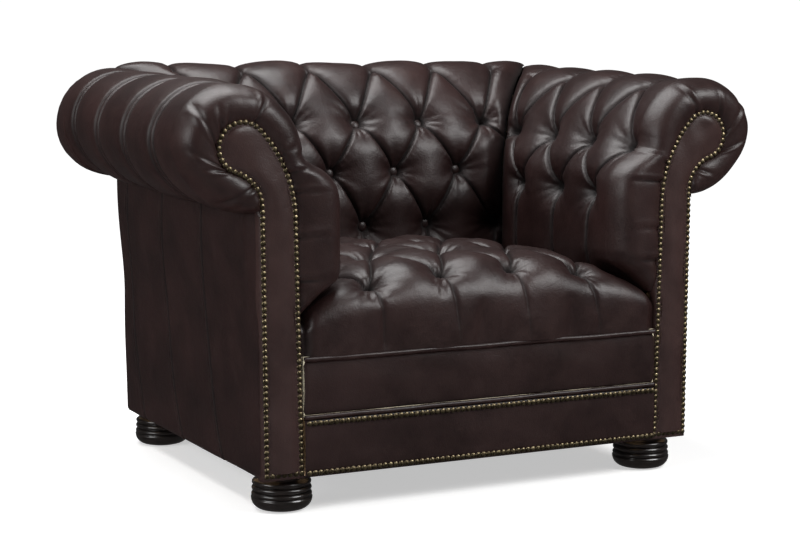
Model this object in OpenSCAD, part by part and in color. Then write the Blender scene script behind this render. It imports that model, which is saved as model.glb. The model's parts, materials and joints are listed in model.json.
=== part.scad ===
// Low rolled-arm club armchair: a hardwood frame, hand-tied coil springs, deep-buttoned padding,
// a leather cover trimmed with nails, and four turned bun feet.
// Millimetres, +Z up, +X to the right as seen from the front, the front faces -Y.
// The origin is on the floor under the middle of the chair's bounding box.

/* [Body] */
// Width over the outside arms at the bottom edge
body_w = 850; // [780:5:1020]
// Depth from the front facings to the outside back
body_d = 714; // [640:5:860]
// Height of the feet, up to the underside of the frame
foot_h = 64; // [45:1:90]
// Height of the seat rails
rail_h = 102; // [85:1:110]
// Thickness of the seat rails
rail_t = 32; // [24:1:40]
// Radius of the outside rear corners
corner_r = 24; // [12:1:40]

/* [Arms and back] */
// Radius of the padded roll along the arms
arm_roll_r = 108; // [96:1:120]
// Height of the arm roll's centre
arm_roll_z = 632; // [600:1:680]
// How far the arm roll's centre stands outside the body
arm_roll_out = 27; // [15:1:40]
// From the arm roll's centre in to the inside arm's face
arm_inside = 162; // [150:1:180]
// Radius of the padded roll along the back
back_roll_r = 110; // [98:1:122]
// Height of the back roll's centre
back_roll_z = 648; // [615:1:700]
// How far the back roll overhangs the outside back
back_overhang = 42; // [25:1:60]
// From the back roll's centre forward to the inside back's face
back_inside = 175; // [160:1:195]
// Height at which the inside faces start to lean out into the roll
knee_z = 500; // [470:1:520]
// Thickness of the padding on the arms and the back
pad_t = 56; // [48:1:62]
// Thickness of the leather cover
leather_t = 3; // [2:0.5:4]

/* [Seat] */
// Height of the seat's crown
seat_top = 428; // [395:1:440]
// How much lower the seat is beside the arms
seat_crown = 78; // [50:1:90]
// Radius of the seat's front edge
seat_edge_r = 72; // [55:1:85]
// Height of the welt under the seat's front edge
seat_welt_z = 266; // [255:1:280]
// Height of the deck that the seat padding lies on
deck_z = 300; // [290:1:315]
// Height of the foot of the padding on the arms and the back, just over the seat's edges
pad_foot_z = 378; // [372:1:400]
// How far the seat's front stands ahead of the facings
seat_proud = 8; // [2:1:14]

/* [Facings] */
// Radius of the facing's round head
head_r = 46.5; // [40:0.5:50]
// How far the head's centre stands outside the body
head_out = 33; // [25:1:40]
// Height of the head's centre
head_z = 624; // [595:1:670]
// Width of the facing at its foot
facing_foot_w = 72.5; // [65:0.5:80]
// Width from the body's side in to the facing's inner edge at the knee
facing_knee_w = 64; // [58:0.5:72]
// Radius of the hollow under the facing's head
neck_r = 60; // [45:1:75]
// Thickness of the facing board
facing_board_t = 9; // [6:1:14]
// Thickness of the leather panel on the facing board
facing_leather_t = 4; // [3:0.5:6]
// Thickness of the hardwood front posts
post_t = 32; // [25:1:40]

/* [Front bands] */
// How far the welt over the lower band stands above the seat rails
border_welt_up = 1; // [0:0.5:8]
// How far the lower band stands ahead of the facings
apron_proud = 8; // [4:1:12]
// Radius of the two front welts
welt_r = 4; // [3:0.5:5]

/* [Nails and buttons] */
// Diameter of a nail's domed head
nail_d = 9.6; // [8:0.1:12]
// Height of a nail's domed head
nail_dome_h = 3; // [2:0.1:4]
// Distance from one nail to the next
nail_pitch = 10.1; // [9.7:0.1:14]
// Distance from a panel's edge to its row of nails
nail_edge = 4.6; // [4:0.1:7]
// Length of a nail's shank
nail_shank = 9; // [6:1:12]
// Diameter of a covered button
button_d = 22; // [18:1:26]
// Depth of the buttons under the padding's crest on the arms and the back
tuft_depth = 32; // [24:1:38]
// Distance between buttons along a row
tuft_pitch = 140; // [130:1:150]
// Heights of the two button rows on the arms
arm_rows = [625, 517];
// Heights of the three button rows on the back
back_rows = [648, 543, 431];
// Distances from the facings back to the four button rows on the seat
seat_rows = [30, 185, 303, 425];

/* [Springs] */
// Distance between springs across the seat
spring_pitch_x = 175; // [110:1:200]
// Distance between springs from front to back
spring_pitch_y = 155; // [110:1:170]
// Radius of a spring's end turns
spring_r = 48; // [35:1:52]
// Radius of a spring's waist
spring_waist_r = 34; // [24:1:34]
// Radius of the spring wire
wire_r = 2.2; // [1.8:0.1:2.8]
// Turns in each spring
spring_turns = 5; // [4:1:6]

/* [Feet] */
// Largest radius of a bun foot
foot_r = 53; // [46:1:56]
// Radius of a foot's sole
sole_r = 34; // [28:1:36]
// From the body's side in to a foot's centre
foot_inset = 57; // [54:1:62]
// From the facings back to a front foot's centre
foot_front = 61; // [58:1:75]
// From the outside back forward to a rear foot's centre
foot_rear = 49; // [46:1:56]
// Radius of a foot's hanger bolt
bolt_r = 4; // [3:0.5:5]

/* [Hidden] */
$fn = 64;
gap = 0.3;
leather_col = [0.16, 0.11, 0.11];
facing_col = [0.23, 0.15, 0.15];
wood_col = [0.72, 0.55, 0.36];
ebony_col = [0.05, 0.04, 0.04];
brass_col = [0.5, 0.44, 0.32];
steel_col = [0.55, 0.56, 0.58];
foam_col = [0.9, 0.86, 0.7];
jute_col = [0.66, 0.52, 0.34];
cloth_col = [0.12, 0.12, 0.13];

// Overall depth, and the planes and half widths that everything is laid out from
overall_d = nail_dome_h + apron_proud + body_d + back_overhang;
front_y = -overall_d / 2 + nail_dome_h + apron_proud;
back_y = front_y + body_d;
half_w = body_w / 2;
frame_front_y = front_y + facing_leather_t + facing_board_t;
post_back_y = frame_front_y + post_t;
arm_x = half_w + arm_roll_out;
arm_face_x = arm_x - arm_inside;
back_roll_y = back_y + back_overhang - back_roll_r;
back_face_y = back_roll_y - back_inside;
rail_top = foot_h + rail_h;
border_welt_z = rail_top + border_welt_up;
panel_t = 3;
side_in = half_w - panel_t - gap;
back_in = back_y - panel_t - gap;

// Points on an arc about c from angle a0 to a1
function arc(c, r, a0, a1, n = 16) =
    [for (i = [0:n]) let (a = a0 + (a1 - a0) * i / n) [c[0] + r * cos(a), c[1] + r * sin(a)]];

function reversed(p) = [for (i = [len(p) - 1:-1:0]) p[i]];

// Distance along a path to each of its points, and the point at distance s
function path_steps(p) =
    [for (i = 0, s = 0; i < len(p); s = s + norm(p[min(i + 1, len(p) - 1)] - p[i]), i = i + 1) s];
function path_point(p, steps, s) = [
    lookup(s, [for (i = [0:len(p) - 1]) [steps[i], p[i][0]]]),
    lookup(s, [for (i = [0:len(p) - 1]) [steps[i], p[i][1]]])];

// Radius of the arc that starts upright, dz below the centre of a circle of radius r and d to its side,
// and meets that circle tangentially
function sweep_r(d, r, dz) = (dz * dz / (d - r) + r + d) / 2;

// Extrude a section drawn in X and Z along Y, or one drawn in Y and Z along X
module along_y(y0, y1) {
    translate([0, y1, 0])
        rotate([90, 0, 0])
            linear_extrude(y1 - y0)
                children();
}

module along_x(x0, x1) {
    translate([x0, 0, 0])
        rotate([90, 0, 90])
            linear_extrude(x1 - x0)
                children();
}

module box(lo, hi) {
    translate(lo)
        cube(hi - lo);
}

module both_sides() {
    children();
    mirror([1, 0, 0])
        children();
}

// ---- Padded rolls ----

// A roll is [centre, centre's height, radius, distance in to the face, plane of the outside panel]
arm_roll = [arm_x, arm_roll_z, arm_roll_r, arm_inside, half_w + gap];
back_roll = [back_roll_y, back_roll_z, back_roll_r, back_inside, back_y + gap];

// The sweep is the arc that leads from the upright inside face up into the roll
function sweep(s) = sweep_r(s[3], s[2], s[1] - knee_z);
function sweep_c(s) = [s[0] - s[3] + sweep(s), knee_z];
function join_a(s) = let (c = sweep_c(s)) atan2(s[1] - knee_z, s[0] - c[0]);
function under_a(s) = -acos((s[4] - s[0]) / s[2]);
function under_z(s) = s[1] + s[2] * sin(under_a(s));

// The line of the face and the roll at a depth t, from height z0 up and over to angle a1 on the roll
function roll_line(s, t, z0, a1) = concat(
    [[s[0] - s[3] + t, z0]],
    arc(sweep_c(s), sweep(s) - t, 180, join_a(s), 10),
    [for (i = [1:28]) let (a = join_a(s) + (a1 - join_a(s)) * i / 28)
        [s[0] + (s[2] - t) * cos(a), s[1] + (s[2] - t) * sin(a)]]);

// The layer between depths t0 and t1
module roll_layer(s, t0, t1, z0, a1) {
    polygon(concat(roll_line(s, t0, z0, a1), reversed(roll_line(s, t1, z0, a1))));
}

// The slope of the face at height z, and the point on it at depth t
function face_slope(s, z) = asin(max(0, z - knee_z) / sweep(s));
function face_point(s, z, t) = let (a = face_slope(s, z), r = sweep(s) - t)
    z > knee_z ? sweep_c(s) + [-r * cos(a), r * sin(a)] : [s[0] - s[3] + t, z];

// Everything on the arm's side of the mitre between the right arm and the back
mitre_reach = 300;
module arm_side() {
    slope = (back_roll_y - back_face_y) / (arm_x - arm_face_x);
    linear_extrude(1000)
        polygon([
            [arm_face_x - mitre_reach, back_face_y - mitre_reach * slope],
            [arm_x, back_roll_y],
            [arm_x, back_roll_y + mitre_reach],
            [arm_x + mitre_reach, back_roll_y + mitre_reach],
            [arm_x + mitre_reach, front_y - mitre_reach],
            [arm_face_x - mitre_reach, front_y - mitre_reach]]);
}

// The ball that turns the arm roll round the rear corner, between depths t0 and t1
module corner_ball(t0, t1) {
    translate([arm_x, back_roll_y, arm_roll_z])
        rotate_extrude(angle = 90)
            polygon(concat(
                arc([0, 0], arm_roll_r - t0, -90, 90, 24),
                arc([0, 0], arm_roll_r - t1, 90, -90, 24)));
}

// ---- Facing outline ----

neck_line = 4;
neck_x = neck_line + neck_r;
neck_z = head_z - sqrt(pow(head_r + neck_r, 2) - pow(neck_x - head_out, 2));
neck_a = atan2(head_z - neck_z, head_out - neck_x);
facing_sweep = sweep_r(head_out + facing_knee_w, head_r, head_z - knee_z);
facing_sweep_x = facing_sweep - facing_knee_w;
facing_a = atan2(head_z - knee_z, head_out - facing_sweep_x);

// The facing's outline, outward from the body's side and up, inset by t, from height z0
function facing_line(t, z0) = concat(
    [[-t, z0]],
    arc([neck_x, neck_z], neck_r + t, 180, neck_a, 10),
    arc([head_out, head_z], head_r - t, neck_a - 180, facing_a, 28),
    arc([facing_sweep_x, knee_z], facing_sweep - t, facing_a, 180, 12),
    [[t - facing_foot_w, z0]]);

module facing_shape(t, z0) {
    translate([half_w, 0])
        polygon(facing_line(t, z0));
}

// ---- Buttons on the arms and the back ----

// Each place is [distance along the arm or the back, height]
arm_first_y = front_y + 55;
function arm_tufts() = [
    for (row = [0:1], i = [0:3 - row])
        [arm_first_y + (i + row / 2) * tuft_pitch, arm_rows[row]]];
function back_tufts() = [
    for (row = [0:2], i = [0:row == 1 ? 3 : 2])
        [(i - (row == 1 ? 1.5 : 1)) * tuft_pitch, back_rows[row]]];

module at_arm_tuft(p) {
    c = face_point(arm_roll, p[1], tuft_depth);
    translate([c[0], p[0], c[1]])
        rotate([0, -90 + face_slope(arm_roll, p[1]), 0])
            children();
}

module at_back_tuft(p) {
    c = face_point(back_roll, p[1], tuft_depth);
    translate([p[0], c[0], c[1]])
        rotate([90 - face_slope(back_roll, p[1]), 0, 0])
            children();
}

button_h = 8;
button_cap_h = 4;
twine_r = 1.2;
well_gap = 1;
well_reach = 60;

// The well that a button is pulled into, with its twine hole
module tuft_well(twine_len) {
    translate([0, 0, -button_h / 2 - well_gap])
        cylinder(r = button_d / 2 + well_gap, h = well_reach);
    translate([0, 0, -twine_len])
        cylinder(r = twine_r + gap, h = twine_len);
}

// A covered button and the twine that holds it
module tuft_button(twine_len) {
    cap_r = (pow(button_d / 2, 2) + pow(button_cap_h, 2)) / (2 * button_cap_h);
    rotate_extrude()
        polygon(concat(
            [[0, -twine_len], [twine_r, -twine_len], [twine_r, -button_h / 2], [button_d / 2, -button_h / 2]],
            arc([0, button_cap_h - cap_r], cap_r, acos(button_d / 2 / cap_r), 90, 6)));
}

twine_len = pad_t - tuft_depth;

module arm_buttons() {
    color(leather_col)
        for (p = arm_tufts())
            at_arm_tuft(p)
                tuft_button(twine_len);
}

module back_buttons() {
    color(leather_col)
        for (p = back_tufts())
            at_back_tuft(p)
                tuft_button(twine_len);
}

// ---- Padding and covers on the arms and the back ----

module arm_layer(t0, t1, y0) {
    difference() {
        intersection() {
            union() {
                along_y(y0, back_roll_y)
                    roll_layer(arm_roll, t0, t1, pad_foot_z, under_a(arm_roll));
                corner_ball(t0, t1);
            }
            arm_side();
        }
        along_y(front_y - 1, post_back_y + gap)
            facing_shape(-gap, foot_h);
        for (p = arm_tufts())
            at_arm_tuft(p)
                tuft_well(twine_len + 1);
    }
}

module back_layer(t0, t1) {
    difference() {
        along_x(-arm_x, arm_x)
            roll_layer(back_roll, t0, t1, pad_foot_z, under_a(back_roll));
        both_sides()
            arm_side();
        for (p = back_tufts())
            at_back_tuft(p)
                tuft_well(twine_len + 1);
    }
}

module arm_padding() {
    color(foam_col)
        arm_layer(leather_t + gap, pad_t, front_y + leather_t + gap);
}

// The cover is wrapped over the padding's face and roll, and over its front end round the facing
module arm_cover() {
    color(leather_col)
        union() {
            arm_layer(0, leather_t, front_y);
            difference() {
                along_y(front_y, front_y + leather_t)
                    roll_layer(arm_roll, leather_t / 2, pad_t - 1, pad_foot_z, under_a(arm_roll));
                along_y(front_y - 1, post_back_y)
                    facing_shape(-gap, foot_h);
            }
        }
}

module back_padding() {
    color(foam_col)
        back_layer(leather_t + gap, pad_t);
}

module back_cover() {
    color(leather_col)
        back_layer(0, leather_t);
}

// ---- Seat ----

seat_x = arm_face_x + pad_t - 1;
seat_rear_y = back_face_y + pad_t - 1;
seat_front_y = front_y - seat_proud;
seat_rise = 18;
seat_flat = 120;

// The seat from front to rear at a depth t, down to height z0
module seat_side(t, z0) {
    edge_y = seat_front_y + seat_edge_r;
    edge_z = seat_top - seat_rise - seat_edge_r;
    polygon(concat(
        [[seat_front_y + t, z0]],
        arc([edge_y, edge_z], seat_edge_r - t, 180, 96, 10),
        [[edge_y + seat_flat, seat_top - t], [back_face_y - gap, seat_top - seat_rise / 2 - t],
         [back_face_y - gap, pad_foot_z - gap - t], [seat_rear_y, pad_foot_z - gap - t],
         [seat_rear_y, z0]]));
}

// The seat from arm to arm at a depth t, down to height z0
module seat_across(t, z0) {
    crown_r = (pow(seat_x, 2) + pow(seat_crown, 2)) / (2 * seat_crown);
    half_a = asin(arm_face_x / (crown_r - t));
    polygon(concat(
        [[-seat_x, z0], [seat_x, z0], [seat_x, seat_top - seat_crown - t]],
        arc([0, seat_top - crown_r], crown_r - t, 90 - half_a, 90 + half_a, 24),
        [[-seat_x, seat_top - seat_crown - t]]));
}

module seat_form(t, z0) {
    intersection() {
        along_x(-seat_x, seat_x)
            seat_side(t, z0);
        along_y(seat_front_y - 1, seat_rear_y)
            seat_across(t, z0);
    }
}

seat_button_z = seat_top - seat_crown - 2;
seat_twine = seat_button_z - deck_z;
function seat_tufts() = [
    for (row = [0:3], i = [0:row % 2 == 0 ? 3 : 2])
        [(i - (row % 2 == 0 ? 1.5 : 1)) * tuft_pitch, front_y + seat_rows[row]]];

module seat_wells() {
    for (p = seat_tufts())
        translate([p[0], p[1], seat_button_z])
            tuft_well(seat_twine + 1);
}

module seat_padding() {
    color(foam_col)
        difference() {
            seat_form(leather_t + gap, deck_z);
            seat_wells();
        }
}

module seat_cover() {
    color(leather_col)
        difference() {
            seat_form(0, seat_welt_z + welt_r + gap);
            seat_form(leather_t, 0);
            seat_wells();
        }
}

module seat_buttons() {
    color(leather_col)
        for (p = seat_tufts())
            translate([p[0], p[1], seat_button_z])
                tuft_button(seat_twine);
}

// ---- Front bands and welts ----

band_t = 5;
band_x = half_w - facing_foot_w - gap;

module welt(y, z) {
    color(leather_col)
        translate([-band_x, y, z])
            rotate([0, 90, 0])
                cylinder(r = welt_r, h = 2 * band_x);
}

module seat_welt() {
    welt(seat_front_y + welt_r, seat_welt_z);
}

module border_welt() {
    welt(front_y - apron_proud + welt_r, border_welt_z);
}

module front_border() {
    color(leather_col)
        box([-band_x, front_y - band_t, border_welt_z + welt_r + gap],
            [band_x, front_y, seat_welt_z - welt_r - gap]);
}

module border_padding() {
    color(foam_col)
        box([-band_x, front_y + gap, rail_top + gap],
            [band_x, frame_front_y + post_t, seat_welt_z + welt_r]);
}

apron_top = border_welt_z - welt_r - gap;
module front_apron() {
    color(leather_col)
        box([-band_x, front_y - apron_proud, foot_h],
            [band_x, frame_front_y - gap, apron_top]);
}

// ---- Facings, posts and outside panels ----

module facing_leather() {
    color(facing_col)
        along_y(front_y, front_y + facing_leather_t)
            facing_shape(0, foot_h);
}

module facing_board() {
    color(wood_col)
        along_y(front_y + facing_leather_t, frame_front_y)
            facing_shape(1, foot_h);
}

post_inset = 8;
module front_post() {
    color(wood_col)
        along_y(frame_front_y, post_back_y)
            facing_shape(post_inset, foot_h);
}

module outside_arm() {
    color(leather_col)
        box([half_w - panel_t, frame_front_y + gap, foot_h],
            [half_w, back_y - corner_r - gap, under_z(arm_roll) - gap]);
}

// The outside back turns round both rear corners and meets the outside arms there
module outside_back() {
    corner_c = [half_w - corner_r, back_y - corner_r];
    color(leather_col)
        union() {
            both_sides()
                translate([0, 0, foot_h])
                    linear_extrude(under_z(arm_roll) - gap - foot_h)
                        polygon(concat(
                            arc(corner_c, corner_r, 0, 90, 12),
                            arc(corner_c, corner_r - panel_t, 90, 0, 12)));
            box([-corner_c[0], back_y - panel_t, foot_h],
                [corner_c[0], back_y, under_z(back_roll) - gap]);
        }
}

// ---- Rails and rear posts ----

rear_post_w = 65;
rear_post_d = 56;
rear_post_out = 11;
rear_post_x0 = half_w - rear_post_out - rear_post_w;
rear_post_y0 = back_y - panel_t - 5 - rear_post_d;
core_gap = 4;
arm_core_r = arm_roll_r - pad_t - core_gap;
back_core_r = back_roll_r - pad_t - core_gap;

// A rear post stands on its foot and leans in under the top rail
module rear_post() {
    lean_z = under_z(back_roll) - 8;
    half_d = rear_post_d / 2;
    color(wood_col)
        difference() {
            along_x(rear_post_x0, rear_post_x0 + rear_post_w)
                polygon([
                    [rear_post_y0, foot_h], [rear_post_y0 + rear_post_d, foot_h],
                    [rear_post_y0 + rear_post_d, lean_z], [back_roll_y + half_d, lean_z + 45],
                    [back_roll_y + half_d, back_roll_z], [back_roll_y - half_d, back_roll_z],
                    [back_roll_y - half_d, lean_z], [rear_post_y0, lean_z - 60]]);
            top_rail_core();
            translate([half_w - foot_inset, back_y - foot_rear, 0])
                bolt_bore();
        }
}

module top_rail_core() {
    half_len = arm_x - arm_core_r;
    translate([-half_len, back_roll_y, back_roll_z])
        rotate([0, 90, 0])
            cylinder(r = back_core_r, h = 2 * half_len);
}

module top_rail() {
    color(wood_col)
        top_rail_core();
}

module arm_rail() {
    len = back_roll_y - back_core_r - post_back_y;
    color(wood_col)
        translate([arm_x, post_back_y + len, arm_roll_z])
            rotate([90, 0, 0])
                cylinder(r = arm_core_r, h = len);
}

module front_rail() {
    color(wood_col)
        difference() {
            box([-half_w + facing_foot_w / 2, frame_front_y, foot_h],
                [half_w - facing_foot_w / 2, frame_front_y + post_t, rail_top]);
            both_sides()
                along_y(front_y, post_back_y + 1)
                    facing_shape(post_inset, foot_h);
        }
}

module back_rail() {
    color(wood_col)
        box([-rear_post_x0, back_in - rail_t, foot_h],
            [rear_post_x0, back_in, rail_top]);
}

module side_rail() {
    color(wood_col)
        box([side_in - rail_t, post_back_y, foot_h],
            [side_in, rear_post_y0, rail_top]);
}

// Stay rails stand behind the inside faces, where the webbing and the covers are fixed
stay_z = seat_welt_z - 4;
stay_h = 60;
stay_t = 25;
stay_gap = 3;
arm_stay_x = arm_face_x + pad_t + stay_gap;
back_stay_y = back_face_y + pad_t + stay_gap;

module arm_stay_rail() {
    color(wood_col)
        box([arm_stay_x, post_back_y, stay_z],
            [arm_stay_x + stay_t, rear_post_y0, stay_z + stay_h]);
}

module back_stay_rail() {
    color(wood_col)
        box([-arm_stay_x, back_stay_y, stay_z],
            [arm_stay_x, back_stay_y + stay_t, stay_z + stay_h]);
}

block_leg = 72;
block_h = 84;
module corner_blocks() {
    x = side_in - rail_t;
    color(wood_col)
        both_sides() {
            difference() {
                translate([0, 0, foot_h])
                    linear_extrude(block_h)
                        polygon([
                            [x, post_back_y], [x, post_back_y + block_leg],
                            [x - block_leg, post_back_y]]);
                translate([half_w - foot_inset, front_y + foot_front, 0])
                    bolt_bore();
            }
            translate([0, 0, foot_h])
                linear_extrude(block_h)
                    polygon([
                        [x, rear_post_y0], [x, rear_post_y0 - x + rear_post_x0],
                        [rear_post_x0, rear_post_y0]]);
        }
}

// ---- Suspension ----

strap_w = 50;
strap_t = 2;
strap_gap = 0.5;
strap_z = foot_h + 6;
spring_first_y = post_back_y + 100;

module seat_webbing() {
    x = side_in - rail_t;
    color(jute_col)
        union()
            for (i = [0:4]) {
                y = spring_first_y + i * spring_pitch_y / 2;
                box([-x, y - strap_w / 2, strap_z],
                    [x, y + strap_w / 2, strap_z + strap_t]);
                sx = (i - 2) * spring_pitch_x / 2;
                box([sx - strap_w / 2, frame_front_y + post_t, strap_z + strap_t],
                    [sx + strap_w / 2, back_in - rail_t, strap_z + 2 * strap_t]);
            }
}

spring_foot = strap_z + 2 * strap_t + wire_r;
wire_top = deck_z - 6;
spring_h = wire_top - spring_foot - wire_r;
spring_sides = 5;
spring_step = 45;

// A waisted coil: rings of points round the wire, one ring for each step of the turn
function coil_r(t) = spring_waist_r + (spring_r - spring_waist_r) * pow(2 * t - 1, 2);
function coil_ring(k, n) = let (t = k / n, a = 360 * spring_turns * t, r = coil_r(t))
    [for (j = [0:spring_sides - 1]) let (b = 360 * j / spring_sides)
        [(r + wire_r * cos(b)) * cos(a), (r + wire_r * cos(b)) * sin(a), spring_h * t + wire_r * sin(b)]];

module coil_spring() {
    n = spring_turns * 360 / spring_step;
    m = spring_sides;
    polyhedron(
        points = [for (k = [0:n], q = coil_ring(k, n)) q],
        faces = concat(
            [[for (j = [0:m - 1]) j]],
            [[for (j = [m - 1:-1:0]) n * m + j]],
            [for (k = [0:n - 1], j = [0:m - 1])
                [k * m + j, (k + 1) * m + j, (k + 1) * m + (j + 1) % m]],
            [for (k = [0:n - 1], j = [0:m - 1])
                [k * m + j, (k + 1) * m + (j + 1) % m, k * m + (j + 1) % m]]));
}

module seat_springs() {
    color(steel_col)
        for (i = [-1:1], j = [0:2])
            translate([i * spring_pitch_x, spring_first_y + j * spring_pitch_y, spring_foot])
                coil_spring();
}

// The edge wire runs round the springs' top turns
wire_corner = 30;
edge_wire_x = spring_pitch_x + spring_r;
module edge_wire() {
    r = wire_r;
    y0 = spring_first_y - spring_r;
    y1 = spring_first_y + 2 * spring_pitch_y + spring_r;
    x = edge_wire_x - wire_corner;
    z = wire_top + r;
    color(steel_col)
        union() {
            both_sides() {
                translate([x, y1 - wire_corner, z])
                    rotate_extrude(angle = 90)
                        translate([wire_corner, 0])
                            circle(r);
                translate([x, y0 + wire_corner, z])
                    rotate([0, 0, -90])
                        rotate_extrude(angle = 90)
                            translate([wire_corner, 0])
                                circle(r);
                translate([edge_wire_x, y1 - wire_corner, z])
                    rotate([90, 0, 0])
                        cylinder(r = r, h = y1 - y0 - 2 * wire_corner);
            }
            for (y = [y0, y1])
                translate([-x, y, z])
                    rotate([0, 90, 0])
                        cylinder(r = r, h = 2 * x);
        }
}

// Twine ties the springs together in rows, just under their tops
module spring_twine() {
    z = spring_foot + spring_h / 2;
    y0 = post_back_y;
    y1 = back_in - rail_t;
    color(jute_col)
        union() {
            for (i = [-1:1])
                translate([i * spring_pitch_x, y1, z])
                    rotate([90, 0, 0])
                        cylinder(r = 1.5, h = y1 - y0);
            for (j = [0:2])
                translate([rail_t - side_in, spring_first_y + j * spring_pitch_y, z])
                    rotate([0, 90, 0])
                        cylinder(r = 1.5, h = 2 * (side_in - rail_t));
        }
}

module spring_burlap() {
    color(jute_col)
        box([-seat_x, post_back_y + gap, deck_z - 0.8],
            [seat_x, seat_rear_y, deck_z]);
}

// Straps behind the padding follow its inner face from the stay rail up and over the roll's rail
module web_line(s) {
    polygon(concat(
        roll_line(s, pad_t + strap_gap, stay_z, 90),
        reversed(roll_line(s, pad_t + strap_gap + strap_t, stay_z, 90))));
}

module back_webbing() {
    color(jute_col)
        for (i = [-2:2])
            along_x(i * 120 - strap_w / 2, i * 120 + strap_w / 2)
                web_line(back_roll);
}

arm_strap_n = 4;
module arm_webbing() {
    y0 = post_back_y + 40;
    y1 = back_stay_y - 20;
    color(jute_col)
        for (i = [0:arm_strap_n - 1])
            let (y = y0 + (y1 - y0 - strap_w) * i / (arm_strap_n - 1))
                along_y(y, y + strap_w)
                    web_line(arm_roll);
}

module dust_cover() {
    inset = 12;
    color(cloth_col)
        difference() {
            box([-half_w + inset, frame_front_y + 4, foot_h - 1.5],
                [half_w - inset, back_in - 8, foot_h]);
            at_feet()
                box([-foot_r, -foot_r, foot_h - 5], [foot_r + inset, foot_r, foot_h + 5]);
        }
}

// ---- Feet ----

module at_feet() {
    both_sides() {
        translate([half_w - foot_inset, front_y + foot_front, 0])
            children();
        translate([half_w - foot_inset, back_y - foot_rear, 0])
            children();
    }
}

bead_r = 6;
bead_pitch = 10;
bolt_in_foot = 30;
bolt_in_frame = 40;
nut_r = 5.5;
nut_h = 12;
flange_r = 11;
flange_t = 1.5;
fit_gap = 0.15;

module bolt_bore() {
    translate([0, 0, foot_h - 1])
        cylinder(r = nut_r + fit_gap, h = bolt_in_frame + 3);
    translate([0, 0, foot_h - 1])
        cylinder(r = flange_r + fit_gap, h = 1 + flange_t + fit_gap);
}

// A turned bun: a round belly, three beads over it and a short neck
module bun_foot() {
    belly_z = foot_h * 0.36;
    bead_z = belly_z + bead_r / 2;
    bead_c = foot_r - bead_r - 1;
    color(ebony_col)
        difference() {
            rotate_extrude()
                polygon(concat(
                    [[0, 0], [sole_r, 0]],
                    [for (i = [1:8]) let (a = i * 90 / 8)
                        [sole_r + (foot_r - sole_r) * sin(a), belly_z * (1 - cos(a))]],
                    [for (k = [0:2], a = [-50, -20, 20, 50])
                        [bead_c + bead_r * cos(a), bead_z + k * bead_pitch + 4 + bead_r * sin(a)]],
                    [[bead_c - 3, foot_h - 5], [bead_c - 3, foot_h], [0, foot_h]]));
            translate([0, 0, foot_h - bolt_in_foot])
                cylinder(r = bolt_r + fit_gap, h = bolt_in_foot + 1);
        }
}

module foot_at(x, y) {
    translate([x, y, 0])
        bun_foot();
}

module foot_bolts() {
    color(steel_col)
        at_feet()
            translate([0, 0, foot_h - bolt_in_foot + 1])
                cylinder(r = bolt_r, h = bolt_in_foot + bolt_in_frame - 1);
}

module foot_nuts() {
    color(steel_col)
        at_feet()
            translate([0, 0, foot_h])
                difference() {
                    union() {
                        cylinder(r = flange_r, h = flange_t);
                        cylinder(r = nut_r, h = nut_h);
                    }
                    translate([0, 0, -1])
                        cylinder(r = bolt_r + fit_gap, h = nut_h + 2);
                }
}

// ---- Nails ----

shank_r = 0.8;

// A domed nail driven back into the chair from a point on its front
module nail() {
    rim_h = nail_dome_h * 0.3;
    crown_h = nail_dome_h * 0.3;
    shoulder_r = nail_d * 0.37;
    rotate([90, 0, 0])
        union() {
            translate([0, 0, -nail_shank])
                cylinder(r = shank_r, h = nail_shank, $fn = 24);
            cylinder(r = nail_d / 2, h = rim_h, $fn = 24);
            translate([0, 0, rim_h])
                cylinder(r1 = nail_d / 2, r2 = shoulder_r, h = nail_dome_h - rim_h - crown_h, $fn = 24);
            translate([0, 0, nail_dome_h - crown_h])
                cylinder(r1 = shoulder_r, r2 = shoulder_r / 2, h = crown_h, $fn = 24);
        }
}

// Nails at an even pitch, as near to nail_pitch as fits the path
module nail_path(p, y) {
    steps = path_steps(p);
    total = steps[len(p) - 1];
    n = round(total / nail_pitch);
    for (i = [0:n])
        let (q = path_point(p, steps, total * i / n))
            translate([q[0], y, q[1]])
                nail();
}

nail_foot_z = foot_h + nail_edge + 3.5;
module facing_nails() {
    color(brass_col)
        translate([half_w, 0, 0])
            nail_path(facing_line(nail_edge, nail_foot_z), front_y);
}

module upper_band_nails() {
    z = apron_top - nail_edge - 1;
    x = band_x - nail_edge - 2;
    color(brass_col)
        nail_path([[-x, z], [x, z]], front_y - apron_proud);
}

module lower_band_nails() {
    x = band_x - nail_edge - 2;
    x0 = half_w - facing_foot_w + nail_edge + nail_pitch;
    x1 = half_w - nail_edge - nail_pitch;
    color(brass_col) {
        nail_path([[-x, nail_foot_z], [x, nail_foot_z]], front_y - apron_proud);
        both_sides()
            nail_path([[x0, nail_foot_z], [x1, nail_foot_z]], front_y);
    }
}

front_rail();
back_rail();
mirror([1, 0, 0]) side_rail();  // side_rail_left
side_rail();  // side_rail_right
mirror([1, 0, 0]) front_post();  // front_post_left
front_post();  // front_post_right
mirror([1, 0, 0]) rear_post();  // rear_post_left
rear_post();  // rear_post_right
mirror([1, 0, 0]) arm_rail();  // arm_rail_left
arm_rail();  // arm_rail_right
top_rail();
mirror([1, 0, 0]) arm_stay_rail();  // arm_stay_rail_left
arm_stay_rail();  // arm_stay_rail_right
back_stay_rail();
corner_blocks();
seat_webbing();
seat_springs();
edge_wire();
spring_twine();
spring_burlap();
back_webbing();
mirror([1, 0, 0]) arm_webbing();  // arm_webbing_left
arm_webbing();  // arm_webbing_right
seat_padding();
border_padding();
back_padding();
mirror([1, 0, 0]) arm_padding();  // arm_padding_left
arm_padding();  // arm_padding_right
seat_cover();
back_cover();
mirror([1, 0, 0]) arm_cover();  // arm_cover_left
arm_cover();  // arm_cover_right
seat_welt();
border_welt();
front_border();
front_apron();
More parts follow.
